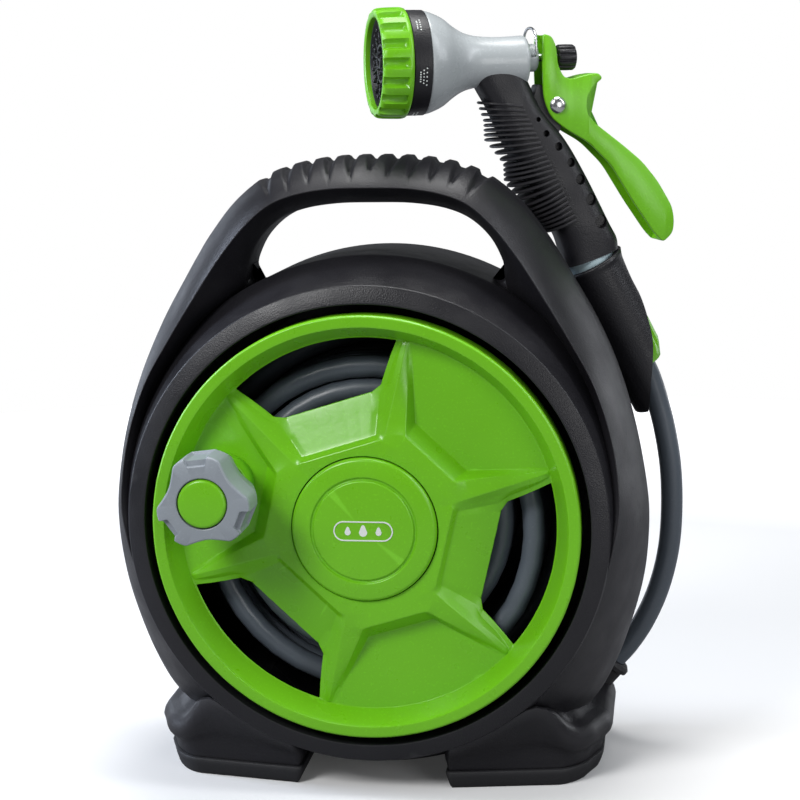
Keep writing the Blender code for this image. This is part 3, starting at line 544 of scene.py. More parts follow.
def add_room():
    """White to the camera, and a dim cool fill to everything else."""
    world = bpy.data.worlds.new("studio")
    bpy.context.scene.world = world
    world.use_nodes = True
    tree = world.node_tree
    fill = tree.nodes["Background"]
    socket(fill, "Color", (0.92, 0.96, 1.0, 1.0))
    socket(fill, "Strength", ROOM_FILL)
    seen = tree.nodes.new("ShaderNodeBackground")
    socket(seen, "Color", WHITE)
    camera_mix(tree, fill, seen, tree.nodes["World Output"])
    bpy.context.scene.view_settings.view_transform = "Standard"


def add_lights():
    aim = DRUM + Vector((0, 0, 0.02))
    soft_box("key", (-0.85, -1.30, 1.30), aim, 0.6, 25)
    soft_box("left_strip", (-1.15, 0.00, 0.55), aim, 0.22, 11, (0.74, 0.83, 1.0), 0.8)
    soft_box("right_strip", (1.10, -0.25, 0.90), aim, 0.26, 5.5, (0.92, 0.95, 1.0), 1.0)
    soft_box("top", (0.05, 0.10, 1.40), aim, 0.7, 13)
    soft_box("front_fill", (0.95, -1.10, 0.40), aim, 0.6, 3.6)
    soft_box("left_rim", (-1.05, 1.20, 0.40), aim, 0.5, 2.0, (0.78, 0.86, 1.0), 0.9)
    soft_box("right_rim", (1.10, 1.15, 0.30), aim, 0.5, 2.5, (0.92, 0.95, 1.0), 0.9)


add_floor()
add_room()
add_lights()


# ---------------------------------------------------------------- casing
# right half of the hoop, from the top of the grip to inside the foot: silhouette
# (x, z), ridge (x, z, y), inner edge (x, z, y) and how crowned the outer face is
HOOP_STATIONS = [
    (0.0, 0.1697, 0.0, 0.1557, 0.0280, 0.0, 0.1475, 0.0500, 0.62),
    (0.020, 0.1690, 0.0190, 0.1552, 0.0280, 0.0180, 0.1471, 0.0500, 0.62),
    (0.038, 0.1660, 0.0353, 0.1524, 0.0278, 0.0340, 0.1446, 0.0500, 0.62),
    (0.053, 0.1600, 0.0473, 0.1474, 0.0270, 0.0460, 0.1395, 0.0500, 0.62),
    (0.068, 0.1480, 0.0585, 0.1376, 0.0255, 0.0555, 0.1305, 0.0500, 0.62),
    (0.080, 0.1330, 0.0688, 0.1250, 0.0235, 0.0610, 0.1195, 0.0500, 0.55),
    (0.0862, 0.1235, 0.0750, 0.1160, 0.0223, 0.0618, 0.1125, 0.0495, 0.55),
    (0.0925, 0.1130, 0.0813, 0.1063, 0.0210, 0.0650, 0.1040, 0.0480, 0.55),
    (0.105, 0.0910, 0.0943, 0.0854, 0.0180, 0.0830, 0.0890, 0.0440, 0.46),
    (0.115, 0.0680, 0.1058, 0.0642, 0.0145, 0.1000, 0.0635, 0.0330, 0.46),
    (0.123, 0.0410, 0.1140, 0.0382, 0.0118, 0.1095, 0.0365, 0.0200, 0.46),
    (0.1285, 0.0120, 0.1172, 0.0112, 0.0095, 0.1130, 0.0105, 0.0130, 0.40),
    (0.130, -0.0070, 0.1150, -0.0062, 0.0078, 0.1120, -0.0060, 0.0100, 0.40),
    (0.1285, -0.0280, 0.1102, -0.0240, 0.0068, 0.1088, -0.0237, 0.0090, 0.40),
    (0.124, -0.0480, 0.1050, -0.0407, 0.0066, 0.1035, -0.0400, 0.0090, 0.40),
    (0.116, -0.0720, 0.0957, -0.0593, 0.0066, 0.0940, -0.0583, 0.0090, 0.40),
    (0.106, -0.0915, 0.0852, -0.0736, 0.0066, 0.0835, -0.0722, 0.0090, 0.40),
    (0.094, -0.1040, 0.0755, -0.0835, 0.0104, 0.0740, -0.0818, 0.0130, 0.40),
]
HOOP_BACK_Y = 0.078
SHOULDER_Y = 0.0535              # the outer face leans in from here to the ridge
HOOP_GRIP_HALF = 0.0625          # the finger notches run this far to each side
GRIP_STEP = 0.0009               # spacing of the sections along the notches
LEG_STEP = 0.0040                # and along the legs
GRIP_PITCH = 0.0104
SCREW_SPOTS = [(0.0, 0.1580), (-0.0775, 0.1200), (0.0775, 0.1200), (-0.0980, 0.0900),
               (0.0980, 0.0900)]
FOOT_SCREW = (0.0700, -0.1140)
SCREW_SEAT_Y = 0.0735
# depth and reach of the fillets in the lower corners of the hand opening
WEB_FRONT = [(0.0490, 0.0030), (0.0508, 0.0062), (0.0535, 0.0095), (SPLIT_Y, 0.0120)]
WEB_REAR = [(SPLIT_Y + 0.0002, 0.0120), (0.0720, 0.0120), (0.0765, 0.0095)]
CORNER_STEPS = 8                 # of each rounded corner of the foot
FOOT_LEAN = 0.26
FOOT_SKEW = 0.17                # the foot's front turns back towards its outer side


def mirrored(row):
    """The same station on the left leg: its three x values change sign."""
    return [-v if k in (0, 2, 5) else v for k, v in enumerate(row)]


def hoop_rows():
    """Stations from the left foot over the grip to the right foot, close enough
    at the top to carry the grip's finger notches."""
    rows = []
    count = len(HOOP_STATIONS)
    for i in range(count - 1):
        four = [HOOP_STATIONS[min(max(i + k - 1, 0), count - 1)] for k in range(4)]
        if i == 0:
            four[0] = mirrored(HOOP_STATIONS[1])
        span = math.dist(HOOP_STATIONS[i][:2], HOOP_STATIONS[i + 1][:2])
        steps = math.ceil(span / (GRIP_STEP if HOOP_STATIONS[i][0] < HOOP_GRIP_HALF else LEG_STEP))
        rows += [catmull_rom(four, step / steps) for step in range(steps)]
    rows.append(list(HOOP_STATIONS[-1]))
    return [mirrored(row) for row in rows[:0:-1]] + rows


def scallop(x, down):
    """Depth of the grip's finger notches, at down below the silhouette."""
    if abs(x) > HOOP_GRIP_HALF - 0.003:
        return 0.0
    slant = x + math.copysign(0.22 * down, x)
    phase = abs((slant / GRIP_PITCH + 0.5) % 1.0 - 0.5) * GRIP_PITCH
    width = 0.0034 * max(1 - down / 0.0105, 0.0)
    if width <= 0:
        return 0.0
    return 0.0024 * smooth_step(width - phase, 0.0, 0.0021) * (1 - down / 0.012)


def hoop_front_section(row):
    sx, sz, rx, rz, ry, ix, iz, iy, crown = row
    silhouette, ridge, inner = Vector((sx, sz)), Vector((rx, rz)), Vector((ix, iz))
    to_ridge = ridge - silhouette
    inset = to_ridge.length
    points = []

    def put(plane, y):
        points.append((plane.x, y, plane.y))

    for y in (SPLIT_Y, SPLIT_Y - 0.0006, SPLIT_Y - 0.0012, (SPLIT_Y + SHOULDER_Y) / 2):
        seam = 0.0004 if y == SPLIT_Y else 0.0
        cut = scallop(sx, 0.0) * smooth_step(SHOULDER_Y + 0.014 - y, 0.0, 0.008)
        put(silhouette + to_ridge.normalized() * (cut + seam), y)
    # the outer face leans in to the ridge, a little crowned
    steps = 16
    last = math.radians(76)
    depth = SHOULDER_Y - ry
    for k in range(steps):
        share = k / steps
        phi = last * share
        around = (1 - math.cos(phi)) / (1 - math.cos(last))
        across = inset * (crown * around + (1 - crown) * share)
        y = SHOULDER_Y - depth * (crown * math.sin(phi) / math.sin(last) + (1 - crown) * share)
        notch = scallop(sx, 0.8 * across)
        put(silhouette + to_ridge.normalized() * (across + notch * 0.8), y + notch * 0.4)
    facet = Vector((ix - rx, iz - rz, iy - ry))
    before = Vector(points[-1])
    ridge_point = Vector((rx, ry, rz))
    for reach in (0.0010, 0.0004):
        points.append(tuple(ridge_point + (before - ridge_point).normalized() * reach))
    for reach in (0.0004, 0.0010):
        along = facet.normalized() * reach
        put(ridge + Vector((along.x, along.y)), ry + along.z)
    for share in (0.3, 0.62, 0.86):
        hollow = 0.10 * math.sin(math.pi * share)
        put(ridge + (inner - ridge) * share, ry + (iy - ry) * (share - hollow))
    put(ridge + (inner - ridge) * 0.97, iy - 0.0014)
    put(inner, iy + 0.0012)
    put(inner, min(iy + 0.005, SPLIT_Y - 0.0012))
    put(inner, SPLIT_Y)
    return points


def hoop_rear_section(row):
    sx, sz, rx, rz, _, ix, iz, iy, _ = row
    silhouette, inner = Vector((sx, sz)), Vector((ix, iz))
    inward = (Vector((rx, rz)) - silhouette).normalized()
    if iy < 0.0485:
        inner = silhouette.normalized() * 0.1205
    outward = (silhouette - inner).normalized()
    inset = min(0.0115, (silhouette - inner).length * 0.45)
    points = []
    for y in (SPLIT_Y + 0.0003, SPLIT_Y + 0.0009, SPLIT_Y + 0.0015, 0.0655):
        seam = 0.0004 if y < SPLIT_Y + 0.0005 else 0.0
        notch = scallop(sx, 0.0)
        points.append(silhouette + inward * (seam + notch))
        points[-1] = (points[-1].x, y, points[-1].y)
    for k in range(1, 8):
        phi = math.pi / 2 * k / 7
        notch = scallop(sx, 0.0) * (1 - k / 7) ** 0.5
        at = silhouette + inward * (inset * (1 - math.cos(phi)) + notch * math.cos(phi))
        points.append((at.x, 0.0655 + (HOOP_BACK_Y - 0.0655) * math.sin(phi), at.y))
    for out, y in ((0.0035, HOOP_BACK_Y), (0.0012, HOOP_BACK_Y - 0.0008),
                   (0.0, HOOP_BACK_Y - 0.0032), (0.0, 0.066), (0.0, SPLIT_Y + 0.0003)):
        at = inner + outward * out
        points.append((at.x, y, at.y))
    return points


def foot_plan():
    """Right foot's outline seen from above, with rounded corners, and each
    point's outward direction."""
    x_in, x_out, y_front, y_back = 0.0345, 0.1085, 0.0195, 0.1175
    corners = [(x_out, y_front, 0.0135, -90), (x_out, y_back, 0.010, 0),
               (x_in, y_back, 0.004, 90), (x_in, y_front, 0.004, 180)]
    plan = []
    for x, y, r, start in corners:
        cx = x - r if x == x_out else x + r
        cy = y + r if y == y_front else y - r
        for k in range(CORNER_STEPS + 1):
            a = math.radians(start + 90 * k / CORNER_STEPS)
            plan.append((Vector((cx + r * math.cos(a), cy + r * math.sin(a))),
                         Vector((math.cos(a), math.sin(a)))))
    dense = []
    for i, (at, out) in enumerate(plan):
        nxt, out_next = plan[(i + 1) % len(plan)]
        gap = (nxt - at).length
        count = max(1, round(gap / 0.005))
        for k in range(count):
            dense.append((at.lerp(nxt, k / count), out.lerp(out_next, k / count).normalized()))
    # the outer wall leans in towards the front, as the hoop's face does
    for at, _ in dense:
        lean = FOOT_LEAN * max(0.055 - at.y, 0.0)
        at.x -= lean * (at.x - x_in) / (x_out - x_in)
        at.y += FOOT_SKEW * (at.x - 0.060) * (1 - smooth_step(at.y, 0.026, 0.062))
    return dense


def foot_rings(side):
    plan = foot_plan()
    # height, offset outward, lip, and share of the way to the core under the hoop
    levels = [(-0.1208, -0.0016, 0.0, 0), (-0.1195, -0.0010, 0.0, 0), (-0.1175, -0.0006, 0.0, 0),
              (-0.1155, 0.0, 0.0, 0), (-0.1141, 0.0002, 0.0003, 0), (-0.1129, 0.0003, 0.0018, 0),
              (-0.1112, 0.0003, 0.0032, 0), (-0.1087, 0.0003, 0.0040, 0), (-0.1058, 0.0, 0.0036, 0),
              (-0.1032, -0.0004, 0.0024, 0), (-0.1016, -0.0014, 0.0012, 0),
              (-0.1006, -0.0024, 0.0, 0.05), (-0.0994, -0.0024, 0.0, 0.14),
              (-0.0976, -0.0024, 0.0, 0.26), (-0.0942, -0.0024, 0.0, 0.42),
              (-0.0890, -0.0024, 0.0, 0.62), (-0.0845, -0.0024, 0.0, 0.85)]
    rings = []
    for z, offset, lip, share in levels:
        ring = []
        rise = smooth_step(z, -0.1180, -0.1015)
        for at, out in plan:
            x_share = smooth_step(at.x, 0.052, 0.086)
            spot = at + out * (offset + lip * x_share)
            core = Vector((min(max(at.x, 0.060), 0.084), min(max(at.y, 0.045), 0.092)))
            spot = spot.lerp(core, share)
            height = z
            # the front's inner half sweeps up and forward into the mouth's ridge
            apron = (1 - smooth_step(at.x, 0.070, 0.098)) * max(-out.y, 0.0) ** 2 * (1 - share)
            if apron > 0:
                top = -math.sqrt(max(0.1122 ** 2 - at.x ** 2, 0.0)) - 0.0006
                swept_z = -0.1208 + (top + 0.1208) * (z + 0.1208) / 0.0198
                swept_z = min(swept_z, top)
                swept_y = spot.y - (spot.y - 0.0070) * rise ** 1.5
                height = z * (1 - apron) + swept_z * apron
                spot.y = spot.y * (1 - apron) + swept_y * apron
            ring.append((side * spot.x, spot.y, height))
        rings.append(ring)
    return rings


def halved(bm, keep_front):
    """Cuts a closed shell at the split plane and closes it again."""
    plane = SPLIT_Y - 0.00012 if keep_front else SPLIT_Y + 0.00012
    bmesh.ops.bisect_plane(bm, geom=bm.verts[:] + bm.edges[:] + bm.faces[:],
                           plane_co=(0, plane, 0), plane_no=(0, 1, 0),
                           clear_outer=keep_front, clear_inner=not keep_front)
    bmesh.ops.holes_fill(bm, edges=[e for e in bm.edges if len(e.link_faces) == 1])


def recessed(mesh, spots):
    """Sinks a screw's recess into the back of a shell at each spot."""
    target = mesh_object("shell", mesh)
    bm = bmesh.new()
    for x, z in spots:
        turn = Matrix.Translation((x, SCREW_SEAT_Y + 0.030, z)) @ Matrix.Rotation(
            math.pi / 2, 4, "X")
        bmesh.ops.create_cone(bm, cap_ends=True, segments=32, radius1=0.0040, radius2=0.0040,
                              depth=0.060, matrix=turn)
    tool = mesh_object("recess", finished_mesh(bm, "recess"))
    return cut_away(target, [tool])


def merged(name, meshes, sharp=32):
    """One mesh holding several closed shells."""
    bm = bmesh.new()
    for mesh in meshes:
        bm.from_mesh(mesh)
    mesh = bpy.data.meshes.new(name)
    bm.to_mesh(mesh)
    bm.free()
    mesh.shade_smooth()
    mesh.set_sharp_from_angle(angle=math.radians(sharp))
    return mesh


def foot_half(side, keep_front):
    bm = bmesh.new()
    loft(bm, foot_rings(side))
    halved(bm, keep_front)
    return finished_mesh(bm, "foot_half", 40)


def corner_web(side, levels):
    """Fillet where the hoop's inner wall runs into the housing, with its reach at
    each depth."""
    corner = Vector((0.0640, 0.1060))
    steps = 10
    rings = []
    for y, reach in levels:
        up_wall = Vector((-0.25, 0.968)) * reach
        up_housing = Vector((-0.905, 0.425)) * reach
        outline = [corner + up_wall * (1 - k / steps) ** 2 + up_housing * (k / steps) ** 2
                   for k in range(steps + 1)]
        outline += [corner + up_housing + Vector((0.0020, -0.0045)), Vector((0.0700, 0.0960)),
                    Vector((0.0710, outline[0].y - 0.0005))]
        rings.append([(side * at.x, y, at.y) for at in outline])
    return capped_loft(rings, "web", 40)


def to_reel(mesh):
    """A mesh turned about the drum's axis, laid into the reel's frame."""
    mesh.transform(TO_FRONT)
    return mesh


def build_casing():
    rows = hoop_rows()
    hoop_front = lofted([hoop_front_section(row) for row in rows], sharp=38)
    cone = to_reel(turned("cone", [
        (MOUTH_R, -0.0032, 0.0009), (RIDGE_R - 0.004, -0.0046, 0.0), (RIDGE_R, -RIDGE_Y, 0.0007),
        (RIDGE_R + 0.0045, -0.0190, 0.0), (SEAM_R + 0.0002, -SEAM_Y + 0.0014, 0.0007),
        (SEAM_R - 0.0004, -SEAM_Y, 0.0002), (SEAM_R - 0.0035, -SEAM_Y, 0.0),
        (MOUTH_R + 0.003, -0.020, 0.0), (MOUTH_R, -0.019, 0.0005)], 192, 0.0005))
    webs = [corner_web(s, WEB_FRONT) for s in (-1, 1)]
    feet = [foot_half(s, True) for s in (-1, 1)]
    front = merged("casing_front", [hoop_front, cone] + webs + feet, 36)
    piece("casing_front", front, REEL, BLACK, "reel", ["front_casing"])

    hoop_rear = recessed(lofted([hoop_rear_section(row) for row in rows]), SCREW_SPOTS)
    housing = to_reel(turned("housing", [
        (SEAM_R - 0.0005, -SEAM_Y - 0.0006, 0.0003), (SEAM_R, -SEAM_Y - 0.0022, 0.0006),
        (SEAM_R - 0.0006, -0.1060, 0.0), (SEAM_R - 0.0020, -0.1140, 0.004),
        (SEAM_R - 0.0085, -HOUSING_BACK_Y, 0.005), (0.1010, -HOUSING_BACK_Y, 0.0008),
        (0.0990, -HOUSING_BACK_Y + 0.0018, 0.0008), (0.0450, -HOUSING_BACK_Y + 0.0018, 0.0008),
        (0.0430, -HOUSING_BACK_Y, 0.0008), (0.0300, -HOUSING_BACK_Y, 0.0008),
        (0.0285, -HOUSING_BACK_Y + 0.0014, 0.0006), (0.0122, -HOUSING_BACK_Y + 0.0014, 0.0004),
        (0.0122, -HOUSING_BACK_Y + 0.0040, 0.0), (0.1150, -HOUSING_BACK_Y + 0.0040, 0.0),
        (SEAM_R - 0.0030, -0.1080, 0.0), (SEAM_R - 0.0030, -SEAM_Y - 0.0006, 0.0)], 192, 0.0005))
    feet = [recessed(foot_half(s, False), [(s * FOOT_SCREW[0], FOOT_SCREW[1])]) for s in (-1, 1)]
    webs = [corner_web(s, WEB_REAR) for s in (-1, 1)]
    rear = merged("casing_rear", [hoop_rear, housing] + webs + feet, 36)
    piece("casing_rear", rear, REEL, BLACK, "reel", ["rear_casing"])


def build_soles():
    for side, label in ((-1, "left"), (1, "right")):
        rings = []
        for z, offset in ((-0.1300, -0.0034), (-0.1297, -0.0029), (-0.1288, -0.0022),
                          (-0.1270, -0.0014), (-0.1240, -0.0004), (-0.1222, 0.0),
                          (-0.1214, -0.0003), (-0.1211, -0.0012), (-0.1211, -0.0030)):
            rings.append([(side * (at + out * offset).x, (at + out * offset).y, z)
                          for at, out in foot_plan()])
        mesh = lofted(rings, "sole", 45)
        piece(f"sole_{label}", mesh, REEL, RUBBER, "reel", [f"foot_sole_{label}"])


build_casing()
build_soles()


# ---------------------------------------------------------------- drum
ARM_ANGLE = math.radians(17)
DISC_BACK_H = -0.0150
# key points (radius, degrees from the pocket's middle, height) of half a pocket:
# rows run from the hub outward, columns from the pocket's middle to the arm line
ARM_LINE = [(0.0344, -0.0029), (0.0420, -0.0033), (0.0455, -0.0039), (0.0520, -0.0050),
            (0.0620, -0.0066), (0.0720, -0.0083), (0.0815, -0.0099), (0.0872, -0.0110),
            (0.0885, -0.0114)]


def solid_pocket():
    """Half of a closed pocket: the star's flank drops to a flat floor."""
    rows = []
    for i, (arm_r, arm_h) in enumerate(ARM_LINE):
        t = max(i - 3, 0) / 5
        if i == 0:
            row = [(0.0344, a, -0.0029) for a in (0, 7, 13.5, 18.5, 20.5, 25)]
        elif i == 1:
            row = [(0.0397 / math.cos(math.radians(0.6 * a)), a, -0.0030)
                   for a in (0, 6.5, 12.5, 17.5, 20, 25)]
        elif i == 2:
            row = [(0.0452 / math.cos(math.radians(a)), a, -0.0033) for a in (0, 6.5, 12.5, 17)]
            row += [(0.0482, 19.5, -0.0035), (0.0468, 25, -0.0038)]
        else:
            base = polar(0.0540, math.radians(17.5)).lerp(
                polar(0.0880, math.radians(28.3)), t)
            top = polar(0.0520, math.radians(20.6)).lerp(
                polar(0.0882, math.radians(29.2)), t)
            row = []
            for share in (0, 0.36, 0.72):
                inner = Vector(polar(0.0515 / math.cos(math.radians(17.5 * share)),
                                     math.radians(17.5 * share)))
                outer = polar(0.0885, math.radians(28.3 * share))
                at = inner.lerp(outer, t)
                row.append((at.length, math.degrees(math.atan2(at.y, at.x)), FLOOR_H))
            row.append((base.length, math.degrees(math.atan2(base.y, base.x)), FLOOR_H))
            row.append((top.length, math.degrees(math.atan2(top.y, top.x)),
                        arm_h - 0.0002 - 0.0002 * t))
            arm = polar(arm_r, math.radians(30))
            mid = top.lerp(arm, 0.5)
            row.append((mid.length, math.degrees(math.atan2(mid.y, mid.x)), arm_h - 0.0001))
        rows.append(row + [(arm_r, 30, arm_h)])
    return rows


def window_pocket():
    """Half of an open pocket: a sloping facet, a flank and the window's edges."""
    rows = []
    lip = 0.0595
    for i, (arm_r, arm_h) in enumerate(ARM_LINE):
        if i == 0:
            row = [(0.0344, a, -0.0029) for a in (0, 7, 13.5, 19.5, 23, 26.5)]
        elif i == 1:
            row = [(0.0378 / math.cos(math.radians(a)), a, -0.0030) for a in (0, 8, 16, 22)]
            row += [(0.0419, 25.2, -0.0031), (0.0424, 27.8, -0.0032)]
        elif i == 2:
            row = [(0.0402 / math.cos(math.radians(a)), a, -0.0056) for a in (0, 8, 15.5, 21)]
            row += [(0.0442, 24.2, -0.0058), (0.0450, 26.8, -0.0050)]
        elif i == 3:
            row = [(0.0500 / math.cos(math.radians(a)), a, -0.0092) for a in (0, 7.5, 14.5, 20.5)]
            row += [(0.0537, 23.6, -0.0093), (0.0530, 26.6, -0.0074)]
        elif i == 4:
            row = [(lip / math.cos(math.radians(a)), a, -0.0126) for a in (0, 7, 14)]
            row += [(0.0632, 19.8, -0.0127), (0.0628, 23.4, -0.0112), (0.0624, 26.8, -0.0090)]
        else:
            t = (i - 5) / 3
            r = 0.0668 + (0.0882 - 0.0668) * t
            side = 23.2 + 3.4 * t
            row = [(r, side * share, -0.0126) for share in (0, 0.34, 0.68, 1.0)]
            row += [(r + 0.0006 * (1 - t), side + (30 - side) * 0.36, -0.0126 + (arm_h + 0.0126) * 0.38),
                    (arm_r - 0.0002, side + (30 - side) * 0.70, -0.0126 + (arm_h + 0.0126) * 0.72)]
        rows.append(row + [(arm_r, 30, arm_h)])
    return rows


RIM_ROWS = [(0.0890, -0.0119), (0.0945, 0.0), (0.0992, 0.0), (0.1000, -0.0009),
            (0.1000, DISC_BACK_H)]


def supported(line, reach, middles=0):
    """A polyline with extra points close beside each inner point, so that a
    subdivision keeps its corners tight, and some spread between them."""
    result = [line[0]]
    for a, b in zip(line, line[1:]):
        length = (spot(b) - spot(a)).length
        share = min(0.3, reach / length) if length > 0.000001 else 0.3
        for t in (share, *((k + 1) / (middles + 1) for k in range(middles)), 1 - share, 1):
            result.append(tuple(u + (v - u) * t for u, v in zip(a, b)))
    return result


def spot(key):
    """A key point (radius, degrees, height) as a place."""
    return polar(key[0], math.radians(key[1]), key[2])


def lerp_spots(a, b, t):
    """Straight line between two key points, as a key point."""
    at = spot(a).lerp(spot(b), t)
    return (math.hypot(at.x, at.y), math.degrees(math.atan2(at.y, at.x)), at.z)


BAND = 5                         # faces between two key columns once supported
ROW_BAND = 3                     # and between two key rows


def half_sector_grid(kind):
    rows = solid_pocket() if kind == "solid" else window_pocket()
    grid = [[(0.0344, a, -0.0062) for _, a, _ in rows[0]]] + rows
    angles = [a for _, a, _ in rows[-1]]
    grid += [[(r, a, h) for a in angles] for r, h in RIM_ROWS]
    grid = [supported(row, 0.0006, BAND - 3) for row in grid]
    dense = [grid[0]]
    for low, high in zip(grid, grid[1:]):
        for k in range(ROW_BAND):
            row = []
            for a, b in zip(low, high):
                length = (spot(b) - spot(a)).length
                share = min(0.3, 0.0006 / length) if length > 0.000001 else 0.3
                row.append(lerp_spots(a, b, (share, 1 - share, 1)[k]))
            dense.append(row)
    return [[spot(key) for key in row] for row in dense]


def build_drum_disc():
    bm = bmesh.new()
    # rows and columns of the supported grid that lie inside a window
    first_row, last_row = ROW_BAND * 5, ROW_BAND * 9
    last_column = BAND * 3
    for k in range(6):
        kind = "solid" if k % 2 == 0 else "window"
        centre = ARM_ANGLE + math.radians(30 + 60 * k)
        for mirror in (1, -1):
            turn = Matrix.Rotation(centre, 4, "Z")
            grid = half_sector_grid(kind)
            verts = [[bm.verts.new(turn @ Vector((p.x, p.y * mirror, p.z))) for p in row]
                     for row in grid]
            for i in range(len(grid) - 1):
                for j in range(len(grid[0]) - 1):
                    if kind == "window" and first_row <= i < last_row and j < last_column:
                        continue
                    quad = (verts[i][j], verts[i][j + 1], verts[i + 1][j + 1], verts[i + 1][j])
                    bm.faces.new(quad if mirror == 1 else quad[::-1])
    bmesh.ops.remove_doubles(bm, verts=bm.verts, dist=0.00002)
    bmesh.ops.recalc_face_normals(bm, faces=bm.faces)
    if sum(f.normal.z for f in bm.faces) < 0:
        bmesh.ops.reverse_faces(bm, faces=bm.faces)
    mesh = bpy.data.meshes.new("disc")
    bm.to_mesh(mesh)
    bm.free()
    disc = mesh_object("disc", mesh)
    wall = disc.modifiers.new("wall", "SOLIDIFY")
    wall.thickness = 0.0024
    wall.offset = -1
    smooth = disc.modifiers.new("smooth", "SUBSURF")
    smooth.levels = 1
    smooth.render_levels = 1
    mesh = applied(disc)
    boss = turned("boss", [(0, 0.0006), (0.0135, 0.0006), (0.0140, FLOOR_H), (0, FLOOR_H)],
                  64, 0.0008, closed=False)
    boss.transform(Matrix.Translation(DISC.inverted() @ KNOB.translation))
    mesh = merged("drum_disc", [mesh, boss], 40)
    piece("drum_disc", mesh, DISC, GREEN, "drum", ["drum_front_flange"])


def drop_outline(scale):
    """Outline of a plain water drop."""
    outline = []
    for k in range(40):
        a = math.tau * k / 40
        r = scale * (1 + 0.9 * max(math.cos(a), 0) ** 6)
        outline.append((r * math.sin(a) * (1 - 0.25 * max(math.cos(a), 0) ** 3), r * math.cos(a)))
    return outline


def flat_mark(bm, outline, height, thickness=0.00022):
    """A closed outline raised as a thin plate."""
    low = [(x, y, height - 0.0003) for x, y in outline]
    high = [(x, y, height + thickness) for x, y in outline]
    loft(bm, [low, high])


def stadium(half_length, radius, steps=16):
    points = []
    for side in (1, -1):
        for k in range(steps + 1):
            a = -math.pi / 2 + math.pi * k / steps
            points.append((side * (half_length + radius * math.cos(a)), side * radius * math.sin(a)))
    return points


def build_hub_cap():
    cap = turned("hub_cap", [
        (0, 0.0012), (0.0232, 0.0007, 0.0005), (0.0238, -0.0004, 0.0003), (0.0246, -0.0004, 0.0003),
        (0.0252, 0.0005, 0.0005), (0.0328, -0.0006, 0.0006), (HUB_R - 0.0001, -0.0018, 0.0006),
        (HUB_R - 0.0001, -0.0050, 0.0), (0, -0.0050)], 128, 0.0005, closed=False)
    piece("hub_cap_visual", cap, DISC, GREEN, "drum", ["hub_cap"])

    bm = bmesh.new()
    outer = stadium(0.0092, 0.0047)
    inner = stadium(0.0092, 0.0041)
    height = 0.0010
    rings = []
    for points, z in ((outer, height - 0.0003), (outer, height + 0.00025),
                      (inner, height + 0.00025), (inner, height - 0.0003)):
        rings.append([(x, y, z) for x, y in points])
    rings.append(rings[0])
    loft(bm, rings, close_start=False, close_end=False)
    for x, scale in ((-0.0072, 0.0014), (0.0, 0.0019), (0.0072, 0.0014)):
        flat_mark(bm, [(x + px, py - 0.0006) for px, py in drop_outline(scale)], height)
    emblem = finished_mesh(bm, "emblem")
    piece("hub_emblem", emblem, DISC, MARKING, "drum", ())


# ---------------------------------------------------------------- knob
KNOB_LENGTH = 0.036
KNOB_SIZE = 1.09                 # the drawn outline is enlarged by this
KNOB_LOBES = 97                  # degrees of the first of three lobes


def knob_outline(scale, notch):
    """Three lobes, each with a notch, and three concave sides."""
    half = [(0.0000, 0.0196 - notch), (0.0034, 0.0196 - notch), (0.0040, 0.0196 - notch * 0.9),
            (0.0050, 0.0196 - notch * 0.12), (0.0054, 0.0193), (0.0075, 0.0184),
            (0.0093, 0.0172), (0.0100, 0.0163), (0.0104, 0.0152), (0.0110, 0.0132),
            (0.0119, 0.0106), (0.0127, 0.0086)]
    points = []
    size = scale * KNOB_SIZE
    for k in range(3):
        turn = math.radians(KNOB_LOBES - 90 - 120 * k)
        lobe = [(-x, y) for x, y in half[:0:-1]] + half
        for x, y in lobe:
            points.append((size * (x * math.cos(turn) - y * math.sin(turn)),
                           size * (x * math.sin(turn) + y * math.cos(turn))))
    return points


def build_knob():
    levels = [(0.0012, 0.74, 0.0), (0.0020, 0.78, 0.0), (0.0120, 0.92, 0.0), (0.0180, 0.99, 0.0),
              (0.0185, 1.0, 0.0006), (0.0190, 1.0, 0.0012), (0.0334, 1.0, 0.0014),
              (0.0338, 1.0, 0.0036), (0.0350, 0.996, 0.0036), (0.0357, 0.978, 0.0034),
              (0.0360, 0.945, 0.0032)]
    rings = [[(x, y, z) for x, y in knob_outline(scale, notch)] for z, scale, notch in levels]
    bm = bmesh.new()
    loft(bm, rings, close_end=False)
    # front face with a round seat for the cap
    last = rings[-1]
    loops = []
    for r, z in ((0.0121, 0.0360), (0.0117, 0.0357), (0.0117, 0.0330)):
        loops.append([polar(r, math.atan2(y, x), z) for x, y, _ in last])
    loft(bm, [last, *loops], close_start=False)
    mesh = finished_mesh(bm, "knob", 26)
    piece("knob_grip", mesh, KNOB, GREY, "knob", ["crank_knob"])
    cap = turned("knob_cap", [
        (0, KNOB_LENGTH + 0.0008), (0.0102, KNOB_LENGTH + 0.0004, 0.0010),
        (0.0112, KNOB_LENGTH - 0.0006, 0.0006), (0.0112, KNOB_LENGTH - 0.0028, 0.0),
        (0, KNOB_LENGTH - 0.0028)], 64, 0.0006, closed=False)
    piece("knob_cap_visual", cap, KNOB, GREEN, "knob", ["knob_cap"])


build_drum_disc()
build_hub_cap()
build_knob()


# ---------------------------------------------------------------- spray gun
DIAL_GROOVES = 18
DIAL_STEPS = 10                  # points of the ring to each groove
